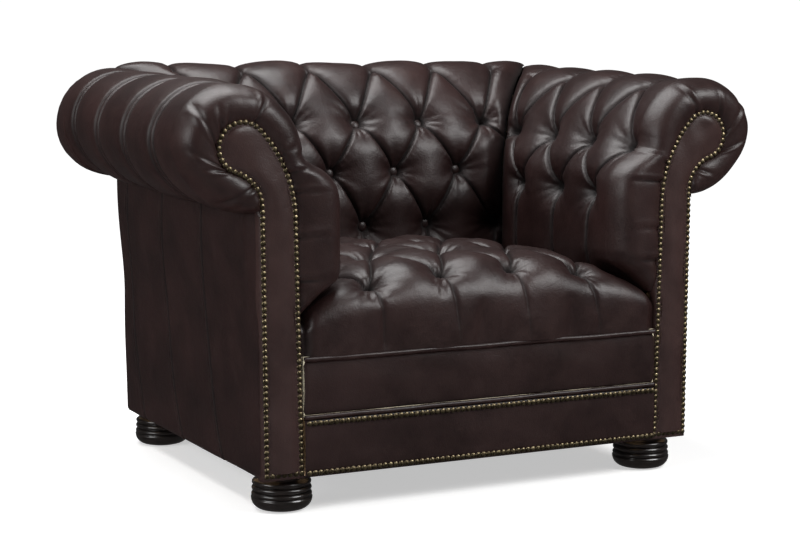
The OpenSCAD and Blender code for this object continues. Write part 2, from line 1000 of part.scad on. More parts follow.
mirror([1, 0, 0]) facing_board();  // facing_board_left
facing_board();  // facing_board_right
mirror([1, 0, 0]) facing_leather();  // facing_leather_left
facing_leather();  // facing_leather_right
mirror([1, 0, 0]) outside_arm();  // outside_arm_left
outside_arm();  // outside_arm_right
outside_back();
dust_cover();
seat_buttons();
back_buttons();
mirror([1, 0, 0]) arm_buttons();  // arm_buttons_left
arm_buttons();  // arm_buttons_right
mirror([1, 0, 0]) facing_nails();  // facing_nails_left
facing_nails();  // facing_nails_right
upper_band_nails();
lower_band_nails();
foot_at(foot_inset - half_w, front_y + foot_front);  // foot_front_left
foot_at(half_w - foot_inset, front_y + foot_front);  // foot_front_right
foot_at(foot_inset - half_w, back_y - foot_rear);  // foot_rear_left
foot_at(half_w - foot_inset, back_y - foot_rear);  // foot_rear_right
foot_bolts();
foot_nuts();
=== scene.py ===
import json
import math
import bpy
import numpy as np
from mathutils import Matrix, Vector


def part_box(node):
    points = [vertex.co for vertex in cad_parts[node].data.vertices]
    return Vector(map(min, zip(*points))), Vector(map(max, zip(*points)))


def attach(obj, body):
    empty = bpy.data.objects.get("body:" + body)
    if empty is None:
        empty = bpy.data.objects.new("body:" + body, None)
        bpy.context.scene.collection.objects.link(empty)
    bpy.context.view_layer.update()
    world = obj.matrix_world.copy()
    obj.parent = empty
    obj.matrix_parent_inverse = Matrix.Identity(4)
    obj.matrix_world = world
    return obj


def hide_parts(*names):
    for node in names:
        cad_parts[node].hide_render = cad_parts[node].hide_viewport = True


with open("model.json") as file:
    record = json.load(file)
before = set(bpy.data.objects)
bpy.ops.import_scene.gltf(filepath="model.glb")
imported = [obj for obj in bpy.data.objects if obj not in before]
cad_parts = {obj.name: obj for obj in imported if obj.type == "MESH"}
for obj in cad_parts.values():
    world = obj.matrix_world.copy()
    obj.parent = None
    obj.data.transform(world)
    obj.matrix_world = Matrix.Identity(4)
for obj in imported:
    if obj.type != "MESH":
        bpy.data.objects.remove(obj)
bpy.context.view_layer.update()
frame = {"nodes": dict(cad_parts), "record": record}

rng = np.random.default_rng(7)

# ---- Places taken from the frame ----


boxes = {node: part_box(node) for node in frame["nodes"]}


def centre(node):
    low, high = boxes[node]
    return (low + high) / 2


def islands(node):
    """The middle of each separate solid of a CAD node, as one row each."""
    mesh = frame["nodes"][node].data
    points = np.zeros(len(mesh.vertices) * 3)
    mesh.vertices.foreach_get("co", points)
    points = points.reshape(-1, 3)
    keys, same = np.unique(np.round(points, 5), axis=0, return_inverse=True)
    same = same.ravel()
    group = np.arange(len(keys))
    edges = np.zeros(len(mesh.edges) * 2, int)
    mesh.edges.foreach_get("vertices", edges)
    edges = same[edges.reshape(-1, 2)]
    while True:
        low = np.minimum(group[edges[:, 0]], group[edges[:, 1]])
        before = group.copy()
        np.minimum.at(group, edges[:, 0], low)
        np.minimum.at(group, edges[:, 1], low)
        group = group[group]
        if np.array_equal(group, before):
            break
    return np.array([(keys[group == g].min(0) + keys[group == g].max(0)) / 2 for g in np.unique(group)])


KNEE_Z = 0.500          # where the inside faces start to lean out into the rolls
HEAD_R = 0.0465         # the facing's round head
KNEE_W = 0.064          # its width at the knee
facing_low, facing_high = boxes["facing_leather_right"]
HALF_W = boxes["outside_arm_right"][1].x
FRONT_Y = facing_low.y
BACK_Y = boxes["outside_back"][1].y
FOOT_H = facing_low.z
HEAD_X, HEAD_Z = facing_high.x - HEAD_R, facing_high.z - HEAD_R
BAND_X = boxes["front_apron"][1].x
APRON_Y = boxes["front_apron"][0].y
APRON_TOP = boxes["front_apron"][1].z
SEAT_WELT = centre("seat_welt")
BORDER_WELT = centre("border_welt")
WELT_R = boxes["seat_welt"][1].z - SEAT_WELT.z
SEAT_Y = boxes["seat_cover"][0].y
SEAT_TOP = boxes["seat_cover"][1].z


# ---- Sections of the rolled arms and back ----


class Roll:
    """A padded section: an upright face that sweeps out into a round roll. s is the length along it."""

    def __init__(self, node, rail, axis, foot_z, end_angle):
        low, high = boxes[node]
        rail = centre(rail)
        self.c, self.cz = rail[axis], rail.z
        self.r = high.z - self.cz
        self.face = low[axis]
        self.foot_z = foot_z
        inside, rise = self.c - self.face, self.cz - KNEE_Z
        self.sweep = (rise * rise / (inside - self.r) + self.r + inside) / 2
        self.sweep_c = self.face + self.sweep
        self.join = math.atan2(rise, self.c - self.sweep_c)
        self.s_knee = KNEE_Z - foot_z
        self.s_join = self.s_knee + self.sweep * (math.pi - self.join)
        self.length = self.at_angle(end_angle)

    def at_angle(self, a):
        return self.s_join + self.r * (self.join - a)

    def at_height(self, z):
        return z - self.foot_z if z < KNEE_Z else self.s_knee + self.sweep * math.asin((z - KNEE_Z) / self.sweep)

    def point(self, s):
        """Place across, height, and the outward direction as its two parts."""
        swept = math.pi - (s - self.s_knee) / self.sweep
        rolled = self.join - (s - self.s_join) / self.r
        face, roll = s < self.s_knee, s >= self.s_join
        a = np.where(face, math.pi, np.where(roll, rolled, swept))
        p = np.where(face, self.face, np.where(roll, self.c + self.r * np.cos(a),
                                               self.sweep_c + self.sweep * np.cos(a)))
        z = np.where(face, self.foot_z + s, np.where(roll, self.cz + self.r * np.sin(a),
                                                     KNEE_Z + self.sweep * np.sin(a)))
        return p, z, np.cos(a), np.sin(a)


PAD_FOOT = 0.338        # the padding on the arms and the back goes down behind the seat to here
ROLL_END = math.radians(-100)
arm = Roll("arm_cover_right", "arm_rail_right", 0, PAD_FOOT, ROLL_END)
back = Roll("back_cover", "top_rail", 1, PAD_FOOT, ROLL_END)

# ---- Buttons and pleats ----

PITCH = 0.140           # from one button to the next along a row
CELLS = 30              # grid cells in half a pitch, and between two rows
CELL = PITCH / 2 / CELLS
CREST_ROW = math.radians(112)  # where on the roll the diamonds end and the straight pleats begin
PLUMP = 2.0             # how full the leather stands between two pleats
VALLEY = 0.56           # share of a pleat's depth that is a broad valley; the rest is the tight fold in it
FOLD_WIDTH = 0.0042
DIAMOND_REACH = 0.056   # from a pleat to the middle of its diamond
BUTTON_PULL = 0.041     # how deep the buttons are drawn in

arm_buttons = islands("arm_buttons_right")
back_buttons = islands("back_buttons")
seat_buttons = islands("seat_buttons")


def smooth(x, a, b):
    t = np.clip((x - a) / (b - a), 0, 1)
    return t * t * (3 - 2 * t)


def waves(u, s, scale, seed):
    """Gentle random hills, about 1 high, with features about scale apart."""
    r = np.random.default_rng(seed)
    total = np.zeros_like(u)
    for k in range(7):
        a = r.uniform(0, 2 * math.pi)
        f = 2 * math.pi / (scale * r.uniform(0.7, 1.6))
        total += np.sin(f * (u * math.cos(a) + s * math.sin(a)) + r.uniform(0, 2 * math.pi))
    return total / 3.5


def hollow(t):
    """The round shape of padding beside a pleat: 1 in the pleat, at t = 0, and 0 at t = 1."""
    return 1 - (1 - (1 - t) ** PLUMP) ** (1 / PLUMP)


def pinned(crease_shade):
    """How firmly the simulated cloth is held near the pleats."""
    return np.clip(crease_shade * 1.6 - 0.4, 0, 1)


def high_spots(deep):
    """1 where the leather stands highest and is rubbed, falling away into the pleats."""
    return np.exp(-np.clip(deep.ravel(), 0, 1) / 0.006)


class Tufts:
    """A field of pleats and buttons over (u, s), u along the part and s along its section."""

    def __init__(self, seed):
        self.pleats, self.buttons, self.seed = [], [], seed

    def pleat(self, a, b, ends, middle, reach):
        self.pleats.append((a, b, ends, middle, reach))

    def button(self, u, s, depth):
        self.buttons.append((u, s, depth))

    def depth(self, u, s):
        """How far the leather is pulled in, and how near it is to a crease, from 0 to 1; that nearness is also
        painted as shade in the leather's colour.
        """
        power = 3.2
        total, crease_shade, ripple = np.zeros_like(u), np.zeros_like(u), np.zeros_like(u)
        r = np.random.default_rng(self.seed)
        for (u0, s0), (u1, s1), ends, middle, reach in self.pleats:
            du, ds = u1 - u0, s1 - s0
            length = math.hypot(du, ds)
            t = np.clip(((u - u0) * du + (s - s0) * ds) / length ** 2, 0, 1)
            away = np.hypot(u - u0 - t * du, s - s0 - t * ds)
            q = np.clip(away / reach, 0, 1)
            fall = VALLEY * hollow(q) + (1 - VALLEY) * np.exp(-away / FOLD_WIDTH)
            deep = np.interp(t, [0, 0.22, 0.5, 0.78, 1], [ends[0], (ends[0] + middle) / 2, middle,
                                                        (ends[1] + middle) / 2, ends[1]])
            total += (deep * fall) ** power
            # Nearness to the fold: it holds the cloth, and it is painted as shade in the leather's colour
            crease_shade = np.maximum(crease_shade, np.exp(-away / 0.0026) * np.clip(deep / 0.010, 0, 1))
            # The fold's lip on one side, and fine puckers that cross it where the leather is gathered
            phase, wide = r.uniform(0, 6.28), r.uniform(0.012, 0.019)
            side = np.sign((u - u0) * ds - (s - s0) * du) * np.sign(du if abs(du) > 1e-9 else 1)
            lip = np.exp(-((away - 0.0048) / 0.0032) ** 2) * (side > 0) * np.clip(deep / 0.012, 0, 1)
            along = t * length + side * 0.004 + 0.3 * away
            ripple += 1.0 * lip * np.clip(4 * t * (1 - t) + 0.3, 0, 1)
            ripple += (np.sin(along * 2 * math.pi / wide + phase + 2.2 * np.sin(along * 61 + phase))
                       * np.exp(-away / 0.012) * (1 - np.exp(-away / 0.0022)) * np.clip(deep / 0.02, 0, 1)
                       * (0.25 + np.abs(2 * t - 1)))
        for bu, bs, deep in self.buttons:
            away = np.hypot(u - bu, s - bs)
            angle = np.arctan2(s - bs, u - bu)
            total += (deep * np.exp(-(away / 0.026) ** 1.15)) ** power
            folds, phase = int(r.integers(9, 13)), r.uniform(0, 6.28)
            fan = np.sin(folds * angle + phase + 1.3 * np.sin(3 * angle + phase))
            fan *= 0.55 + 0.75 * np.sin(2 * angle + r.uniform(0, 6.28)) ** 2
            ripple += 2.4 * fan * np.exp(-np.clip(away - 0.012, 0, 1) / 0.021) * smooth(away, 0.006, 0.018)
            # Painted shade round each button's dimple
            crease_shade = np.maximum(crease_shade, np.exp(-np.clip(away - 0.010, 0, 1) / 0.004))
        return total ** (1 / power), 0.00085 * ripple, crease_shade


def diamonds(tufts, rows, depth):
    """Joins the buttons of neighbouring rows, given as (s, [u, ...]), with diagonal pleats."""
    for (s0, us0), (s1, us1) in zip(rows, rows[1:]):
        for a in us0:
            for b in us1:
                if abs(abs(a - b) - PITCH / 2) < PITCH / 20:
                    tufts.pleat((a, s0), (b, s1), (depth, depth), depth * 0.68, DIAMOND_REACH)


def stations(marks, counts):
    """Values that pass through every mark, with the given number of steps between each two."""
    parts = [np.linspace(a, b, n, endpoint=False) for a, b, n in zip(marks, marks[1:], counts)]
    return np.concatenate(parts + [[marks[-1]]])


# ---- Meshes ----


def make_object(name, points, faces, tones, material, smooth_faces=True):
    """A mesh object from points, faces and per-point values, with equal points joined."""
    keys, first, same = np.unique(np.round(points, 6), axis=0, return_index=True, return_inverse=True)
    same = same.ravel()
    kept = []
    for f in faces:
        g = list(dict.fromkeys(same[list(f)]))
        if len(g) > 2:
            kept.append([int(i) for i in g])
    mesh = bpy.data.meshes.new(name)
    mesh.from_pydata(points[first].tolist(), [], kept)
    for key, values in tones.items():
        layer = mesh.attributes.new(key, "FLOAT", "POINT")
        layer.data.foreach_set("value", np.ascontiguousarray(values[first], np.float32))
    mesh.polygons.foreach_set("use_smooth", [smooth_faces] * len(kept))
    mesh.update()
    thing = bpy.data.objects.new(name, mesh)
    bpy.context.scene.collection.objects.link(thing)
    mesh.materials.append(material)
    return thing


def grid_faces(rows, cols, close_rows=False, split=None):
    """Faces of a grid of points. split says which cells are cut in two along a pleat, and which way."""
    faces = []
    for j in range(rows if close_rows else rows - 1):
        a, b = j * cols, (j + 1) % rows * cols
        for i in range(cols - 1):
            way = 0 if split is None or j >= split.shape[0] or i >= split.shape[1] else split[j, i]
            q = (a + i, a + i + 1, b + i + 1, b + i)
            if way == 1:
                faces += [(q[0], q[1], q[2]), (q[0], q[2], q[3])]
            elif way == -1:
                faces += [(q[0], q[1], q[3]), (q[1], q[2], q[3])]
            else:
                faces.append(q)
    return faces


def pleat_cells(us, ss, tufts):
    """Marks the grid cells whose diagonal is a piece of a diagonal pleat."""
    split = np.zeros((len(ss) - 1, len(us) - 1), int)
    for (u0, s0), (u1, s1), *_ in tufts.pleats:
        if u0 == u1 or s0 == s1:
            continue
        js = [j for j in range(len(ss) - 1) if min(s0, s1) - 1e-6 < (ss[j] + ss[j + 1]) / 2 < max(s0, s1) + 1e-6]
        for j in js:
            t = ((ss[j] + ss[j + 1]) / 2 - s0) / (s1 - s0)
            i = np.searchsorted(us, u0 + t * (u1 - u0)) - 1
            if 0 <= i < len(us) - 1:
                split[j, i] = 1 if (u1 - u0) * (s1 - s0) > 0 else -1
    return split


# ---- Cloth simulation of the padded leather ----

SIM_STEP = 3            # grid cells in one cell of the simulated cloth
SIM_FRAMES = 16
SIM_LIMIT = 0.009       # how far the simulation may move a point
SIM_PRESSURE = 3.0


def upsample(values, at_rows, at_cols, rows, cols):
    """Values on a coarse grid, read at every row and column of the fine one."""
    wide = np.stack([np.interp(np.arange(cols), at_cols, line) for line in values])
    return np.stack([np.interp(np.arange(rows), at_rows, line) for line in wide.T], 1)


def relax(grid, held, origin, outward, bending=0.4, loose=0.05):
    """Fills the leather between its pleats: a coarse copy of the grid is inflated as cloth a little too big for
    its place, held at the pleats, the buttons and the edges, and the fine grid follows it."""
    rows, cols = grid.shape[:2]
    at_rows = np.array(sorted(set(range(0, rows, SIM_STEP)) | {rows - 1}))
    at_cols = np.array(sorted(set(range(origin % SIM_STEP, cols, SIM_STEP)) | {0, cols - 1}))
    coarse = grid[np.ix_(at_rows, at_cols)]
    pinned = held[np.ix_(at_rows, at_cols)].copy()
    pinned[0], pinned[-1], pinned[:, 0], pinned[:, -1] = 1, 1, 1, 1
    n, m = coarse.shape[:2]
    faces = grid_faces(n, m)
    if not outward:
        faces = [f[::-1] for f in faces]
    mesh = bpy.data.meshes.new("cloth")
    mesh.from_pydata(coarse.reshape(-1, 3).tolist(), [], faces)
    cloth = bpy.data.objects.new("cloth", mesh)
    bpy.context.scene.collection.objects.link(cloth)
    group = cloth.vertex_groups.new(name="held")
    for k, weight in enumerate(pinned.ravel()):
        if weight > 0:
            group.add([k], float(weight), "REPLACE")
    settings = cloth.modifiers.new("cloth", "CLOTH").settings
    settings.quality = 4
    settings.mass = 0.25
    settings.tension_stiffness = settings.compression_stiffness = 12
    settings.shear_stiffness = 6
    settings.bending_stiffness = bending
    settings.tension_damping = settings.compression_damping = 8
    settings.air_damping = 2
    settings.vertex_group_mass = "held"
    settings.pin_stiffness = 1.0
    settings.shrink_min = -loose
    settings.use_pressure = True
    settings.uniform_pressure_force = SIM_PRESSURE
    settings.effector_weights.gravity = 0
    scene = bpy.context.scene
    for k in range(1, SIM_FRAMES + 1):
        scene.frame_set(k)
    result = cloth.evaluated_get(bpy.context.evaluated_depsgraph_get()).to_mesh()
    moved = np.zeros(len(result.vertices) * 3)
    result.vertices.foreach_get("co", moved)
    moved = moved.reshape(n, m, 3) - coarse
    scene.frame_set(1)
    bpy.data.objects.remove(cloth)
    size = np.linalg.norm(moved, axis=2, keepdims=True)
    moved *= SIM_LIMIT * np.tanh(size / SIM_LIMIT) / np.maximum(size, 1e-9)
    return grid + np.stack([upsample(moved[..., k], at_rows, at_cols, rows, cols) for k in range(3)], -1)


# ---- Materials ----


class Nodes:
    """A small helper for building a material's node tree."""

    def __init__(self, name):
        self.material = bpy.data.materials.new(name)
        self.material.use_nodes = True
        self.tree = self.material.node_tree
        self.shader = self.tree.nodes["Principled BSDF"]
        self.place = self.add("ShaderNodeTexCoord").outputs["Object"]

    def add(self, kind, inputs=None, **settings):
        node = self.tree.nodes.new(kind)
        for key, value in settings.items():
            setattr(node, key, value)
        for key, value in (inputs or {}).items():
            if hasattr(value, "links"):
                self.tree.links.new(value, node.inputs[key])
            else:
                node.inputs[key].default_value = value
        return node

    def noise(self, scale, detail=3.0, roughness=0.55, at=None, distortion=0.0):
        return self.add("ShaderNodeTexNoise", {"Vector": at or self.place, "Scale": scale, "Detail": detail,
                                               "Roughness": roughness, "Distortion": distortion}).outputs["Fac"]

    def stretch(self, x, y, z):
        return self.add("ShaderNodeMapping", {"Vector": self.place, "Scale": (x, y, z)}).outputs["Vector"]

    def ramp(self, value, stops):
        node = self.add("ShaderNodeValToRGB", {"Fac": value})
        while len(node.color_ramp.elements) < len(stops):
            node.color_ramp.elements.new(0.5)
        for element, (place, colour) in zip(node.color_ramp.elements, stops):
            element.position = place
            element.color = (*colour, 1) if hasattr(colour, "__len__") else (colour, colour, colour, 1)
        return node.outputs["Color"]

    def math(self, operation, a, b):
        return self.add("ShaderNodeMath", {0: a, 1: b}, operation=operation).outputs[0]

    def mix(self, factor, a, b):
        node = self.add("ShaderNodeMix", data_type="RGBA")
        for socket, value in zip((node.inputs[0], node.inputs[6], node.inputs[7]), (factor, a, b)):
            if hasattr(value, "links"):
                self.tree.links.new(value, socket)
            else:
                socket.default_value = (*value, 1) if hasattr(value, "__len__") else value
        return node.outputs[2]

    def tone(self, name):
        return self.add("ShaderNodeAttribute", attribute_name=name).outputs["Fac"]

    def bump(self, height, distance, strength=1.0, normal=None):
        inputs = {"Height": height, "Distance": distance, "Strength": strength}
        if normal is not None:
            inputs["Normal"] = normal
        return self.add("ShaderNodeBump", inputs).outputs["Normal"]

    def finish(self, colour, roughness, normal=None, **fixed):
        for key, value in {"Base Color": colour, "Roughness": roughness, "Normal": normal}.items():
            if value is None:
                continue
            if hasattr(value, "links"):
                self.tree.links.new(value, self.shader.inputs[key])
            else:
                self.shader.inputs[key].default_value = (*value, 1) if hasattr(value, "__len__") else value
        for key, value in fixed.items():
            self.shader.inputs[key.replace("_", " ")].default_value = value
        return self.material


def leather(name, deep, mid, worn):
    """Aniline leather: a pebbled grain, fine creases, mottled colour, painted shade in the pleats, button dimples and
    joins, and rubbed crests.
    """
    n = Nodes(name)
    crease_shade, raised = n.tone("crease_shade"), n.tone("raised")
    cloud = n.noise(9, 4, 0.6)
    fine = n.noise(140, 4, 0.65)
    base = n.mix(n.ramp(cloud, [(0.32, 0.0), (0.72, 1.0)]), deep, mid)
    rubbed = n.math("MULTIPLY", raised, n.ramp(n.noise(26, 5, 0.7), [(0.42, 0.0), (0.78, 1.0)]))
    base = n.mix(n.math("MULTIPLY", rubbed, 0.55), base, worn)
    base = n.mix(n.ramp(fine, [(0.3, 0.0), (0.8, 0.35)]), base, mid)
    # Painted shade: the colour falls to a quarter of the deep tone where the crease_shade attribute is high, in
    # pleats, dimples and joins
    dark = tuple(c * 0.25 for c in deep)
    base = n.mix(n.math("MULTIPLY", crease_shade, 0.85), base, dark)
    pebble = n.add("ShaderNodeTexVoronoi", {"Vector": n.place, "Scale": 520.0, "Randomness": 0.9},
                   feature="SMOOTH_F1").outputs["Distance"]
    folds = n.add("ShaderNodeTexVoronoi", {"Vector": n.place, "Scale": 150.0, "Randomness": 1.0},
                  feature="DISTANCE_TO_EDGE").outputs["Distance"]
    folds = n.ramp(folds, [(0.0, 0.0), (0.16, 1.0)])
    normal = n.bump(n.noise(38, 3, 0.5, distortion=0.6), 0.0022, 0.30)
    normal = n.bump(folds, 0.00022, 0.35, normal)
    normal = n.bump(pebble, 0.00030, 0.5, normal)
    rough = n.ramp(n.math("ADD", n.math("MULTIPLY", cloud, 0.5), n.math("MULTIPLY", fine, 0.5)),
                   [(0.3, 0.36), (0.7, 0.48)])
    rough = n.mix(crease_shade, rough, (0.85, 0.85, 0.85))
    return n.finish(base, rough, normal, Coat_Weight=0.06, Coat_Roughness=0.25, Specular_IOR_Level=0.36)


def wood(name, dark, light, roughness, coat):
    n = Nodes(name)
    grain = n.noise(14, 6, 0.7, n.stretch(1, 9, 14), 0.4)
    pores = n.noise(160, 2, 0.5, n.stretch(1, 12, 18))
    colour = n.mix(n.ramp(grain, [(0.35, 0.0), (0.65, 1.0)]), dark, light)
    colour = n.mix(n.ramp(pores, [(0.55, 0.0), (0.75, 0.5)]), colour, dark)
    return n.finish(colour, roughness, n.bump(pores, 0.0003, 0.4), Coat_Weight=coat, Coat_Roughness=0.12)


def metal(name, bright, dull, low, high):
    n = Nodes(name)
    patch = n.noise(330, 4, 0.65)
    colour = n.mix(n.ramp(patch, [(0.38, 0.0), (0.68, 1.0)]), dull, bright)
    rough = n.ramp(n.noise(210, 3), [(0.3, low), (0.7, high)])
    return n.finish(colour, rough, n.bump(patch, 0.0002, 0.5), Metallic=1.0)


def woven(name, thread, shade, per_metre):
    n = Nodes(name)
    warp = n.add("ShaderNodeTexWave", {"Vector": n.place, "Scale": per_metre / 6.28, "Distortion": 1.5,
                                       "Detail": 2.0}, bands_direction="X").outputs["Fac"]
    weft = n.add("ShaderNodeTexWave", {"Vector": n.place, "Scale": per_metre / 6.28, "Distortion": 1.5,
                                       "Detail": 2.0}, bands_direction="Y").outputs["Fac"]
    weave = n.math("MAXIMUM", warp, weft)
    colour = n.mix(n.ramp(weave, [(0.2, 0.0), (0.9, 1.0)]), shade, thread)
    return n.finish(colour, 0.9, n.bump(weave, 0.0008, 0.8))


def foam(name):
    n = Nodes(name)
    cells = n.add("ShaderNodeTexVoronoi", {"Vector": n.place, "Scale": 700.0}).outputs["Distance"]
    colour = n.mix(n.noise(20), (0.72, 0.62, 0.42), (0.80, 0.74, 0.58))
    return n.finish(colour, 0.95, n.bump(cells, 0.0005, 0.6))


LEATHER = leather("leather_brown_black", (0.0088, 0.0036, 0.0034), (0.0205, 0.0083, 0.0076), (0.038, 0.019, 0.016))
FACING = leather("leather_facing", (0.017, 0.0078, 0.0072), (0.034, 0.0155, 0.0138), (0.058, 0.031, 0.027))
BRASS = metal("antique_brass", (0.40, 0.33, 0.20), (0.075, 0.056, 0.034), 0.32, 0.55)
STEEL = metal("spring_steel", (0.50, 0.51, 0.53), (0.30, 0.30, 0.31), 0.30, 0.45)
EBONY = wood("ebonised_wood", (0.006, 0.0045, 0.004), (0.014, 0.010, 0.009), 0.28, 0.7)
BEECH = wood("hardwood", (0.36, 0.21, 0.10), (0.56, 0.37, 0.20), 0.55, 0.0)
PLY = wood("plywood", (0.46, 0.31, 0.17), (0.62, 0.46, 0.28), 0.6, 0.0)
JUTE = woven("jute", (0.50, 0.36, 0.20), (0.22, 0.15, 0.08), 420)
CAMBRIC = woven("cambric", (0.020, 0.020, 0.022), (0.006, 0.006, 0.007), 900)
FOAM = foam("padding")

SLOT_MATERIALS = {"leather": LEATHER, "facing_leather": FACING, "hardwood": BEECH, "plywood": PLY,
                  "ebonised_wood": EBONY, "antique_brass": BRASS, "steel": STEEL, "padding": FOAM,
                  "jute": JUTE, "cambric": CAMBRIC}


def settle(piece, slot, *nodes):
    """Puts a piece on the chair's one body, in place of its CAD nodes."""
    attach(piece, "root")
    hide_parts(*nodes)


# ---- Padded arms ----

FRONT_ROUND = 0.042     # radius of the padding's rounded front edge
FRONT_SWELL = 0.010     # how far the padding's front stands ahead of the facing
END_ANGLES = {1: (122, 72, 37, 2, -50), -1: (122, 77, 60, 37, 2, -7, -54)}  # gathers round the front of each roll
END_HEIGHTS = {1: (0.640, 0.600, 0.555, 0.455, 0.396), -1: (0.642, 0.606, 0.562, 0.470, 0.396)}
ROUND_STEPS, FACE_STEPS, CORNER_STEPS = 18, 16, 44


def mitre_y(x):
    """How far back an arm's surface may go: it meets the back's along a straight mitre."""
    return back.face + (np.minimum(x, arm.c) - arm.face) * (back.c - back.face) / (arm.c - arm.face)


def mitre_x(y):
    return arm.face + (np.minimum(y, back.c) - back.face) * (arm.c - arm.face) / (back.c - back.face)


CREST_RISE = (-0.012, 0.006)        # the arm's roll is lower at the front and higher at the rear
UNDER_SHIFT = (-0.012, 0.020)       # its underside, at the front and at the rear
ROLL_SWELL = (0.003, 0.017, 0.019)  # how much thicker: at the rear all round, and sideways at the front and rear


def along_arm(y):
    """0 at the arm's front and 1 where it meets the back's roll."""
    return np.clip((y - FRONT_Y) / (back.c - FRONT_Y), 0, 1)


def crest_shift(y, z):
    along = along_arm(y)
    return (CREST_RISE[0] + (CREST_RISE[1] - CREST_RISE[0]) * along) * smooth(z, KNEE_Z, arm.cz)


def under_shift(y, nz):
    """The underside of the roll hangs lower at the front and is drawn up towards the rear."""
    along = along_arm(y)
    return (UNDER_SHIFT[0] + (UNDER_SHIFT[1] - UNDER_SHIFT[0]) * along) * np.clip(-nz, 0, 1)


def roll_swell(y, s, outward):
    """How far the roll stands out beyond its section: mostly sideways, and a little more at the rear."""
    along = along_arm(y)
    past = smooth(s, arm.s_join - 0.02, arm.s_join + 0.12)
    return (ROLL_SWELL[0] * along + (ROLL_SWELL[1] + (ROLL_SWELL[2] - ROLL_SWELL[1]) * along)
            * np.clip(outward, 0, 1)) * past


def inner_swell(y, z):
    """How far the arm's inner face stands in beyond its section: fuller near the front, and cut away at its foot."""
    front = np.exp(-((y - FRONT_Y - 0.03) / 0.11) ** 2)
    full = smooth(z, 0.345, 0.42) * (1 - smooth(z, 0.545, 0.665))
    foot = np.clip((0.395 - z) / 0.057, 0, 1) * (1 - smooth(y, FRONT_Y + 0.05, FRONT_Y + 0.11))
    return full * (0.006 + 0.019 * front) - 0.055 * foot


def facing_outline(t):
    """The facing's outline, inset by t, from the foot of its outer edge round to the foot of its inner edge."""
    neck_r, neck_line, knee_w, foot_w = 0.060, 0.004, KNEE_W, 0.0725
    head_out = HEAD_X - HALF_W
    neck_x = neck_line + neck_r
    neck_z = HEAD_Z - math.sqrt((HEAD_R + neck_r) ** 2 - (neck_x - head_out) ** 2)
    neck_a = math.atan2(HEAD_Z - neck_z, head_out - neck_x)
    rise, inside = HEAD_Z - KNEE_Z, head_out + knee_w
    sweep = (rise * rise / (inside - HEAD_R) + HEAD_R + inside) / 2
    sweep_x = sweep - knee_w
    join = math.atan2(rise, head_out - sweep_x)

    def bow(cx, cz, r, a0, a1, n):
        return [(cx + r * math.cos(a0 + (a1 - a0) * i / n), cz + r * math.sin(a0 + (a1 - a0) * i / n))
                for i in range(n + 1)]

    line = [(neck_line * i / 40 - t, FOOT_H + t + (neck_z - FOOT_H - t) * i / 40) for i in range(40)]
    line += bow(neck_x, neck_z, neck_r + t, math.pi, neck_a, 16)[1:]
    line += bow(HEAD_X - HALF_W, HEAD_Z, HEAD_R - t, neck_a - math.pi, join, 44)[1:]
    line += bow(sweep_x, KNEE_Z, sweep - t, join, math.pi, 24)[1:]
    low_x = t - foot_w
    line += [(t - knee_w + (low_x - t + knee_w) * i / 43, KNEE_Z + (FOOT_H + t - KNEE_Z) * i / 43)
             for i in range(1, 44)]
    return np.array(line)


def facing_edge(s):
    """The point on the facing's outline that faces the arm's section at s."""
    rise, inside = HEAD_Z - KNEE_Z, HEAD_X - HALF_W + KNEE_W
    sweep = (rise * rise / (inside - HEAD_R) + HEAD_R + inside) / 2
    sweep_x = HALF_W - KNEE_W + sweep
    join = math.atan2(rise, HEAD_X - sweep_x)
    share = np.clip((s - arm.s_knee) / (arm.s_join - arm.s_knee), 0, 1)
    swept = math.pi + (join - math.pi) * share
    share = np.clip((s - arm.s_join) / (arm.length - arm.s_join), 0, 1)
    head = facing_outline(0.0)[39:100][::-1]
    run = np.concatenate([[0], np.cumsum(np.hypot(*np.diff(head, axis=0).T))])
    head_x, head_z = HALF_W + np.interp(share * run[-1], run, head[:, 0]), np.interp(share * run[-1], run, head[:, 1])
    on_roll, on_face = s >= arm.s_join, s < arm.s_knee
    x = np.where(on_face, HALF_W - KNEE_W, np.where(on_roll, head_x, sweep_x + sweep * np.cos(swept)))
    z = np.where(on_face, arm.foot_z + s, np.where(on_roll, head_z, KNEE_Z + sweep * np.sin(swept)))
    return x, z


def arm_rows():
    heights = sorted(set(np.round(arm_buttons[:, 2], 2)))
    rows = []
    for h in heights:
        ys = sorted(b[1] for b in arm_buttons if abs(b[2] - h) < 0.02)
        rows.append((arm.at_height(ARM_ROW_Z[len(rows)]), ys))
    return rows


ARM_ROW_Z = (0.517, 0.625)
BACK_ROW_Z = (0.431, 0.543, 0.648)


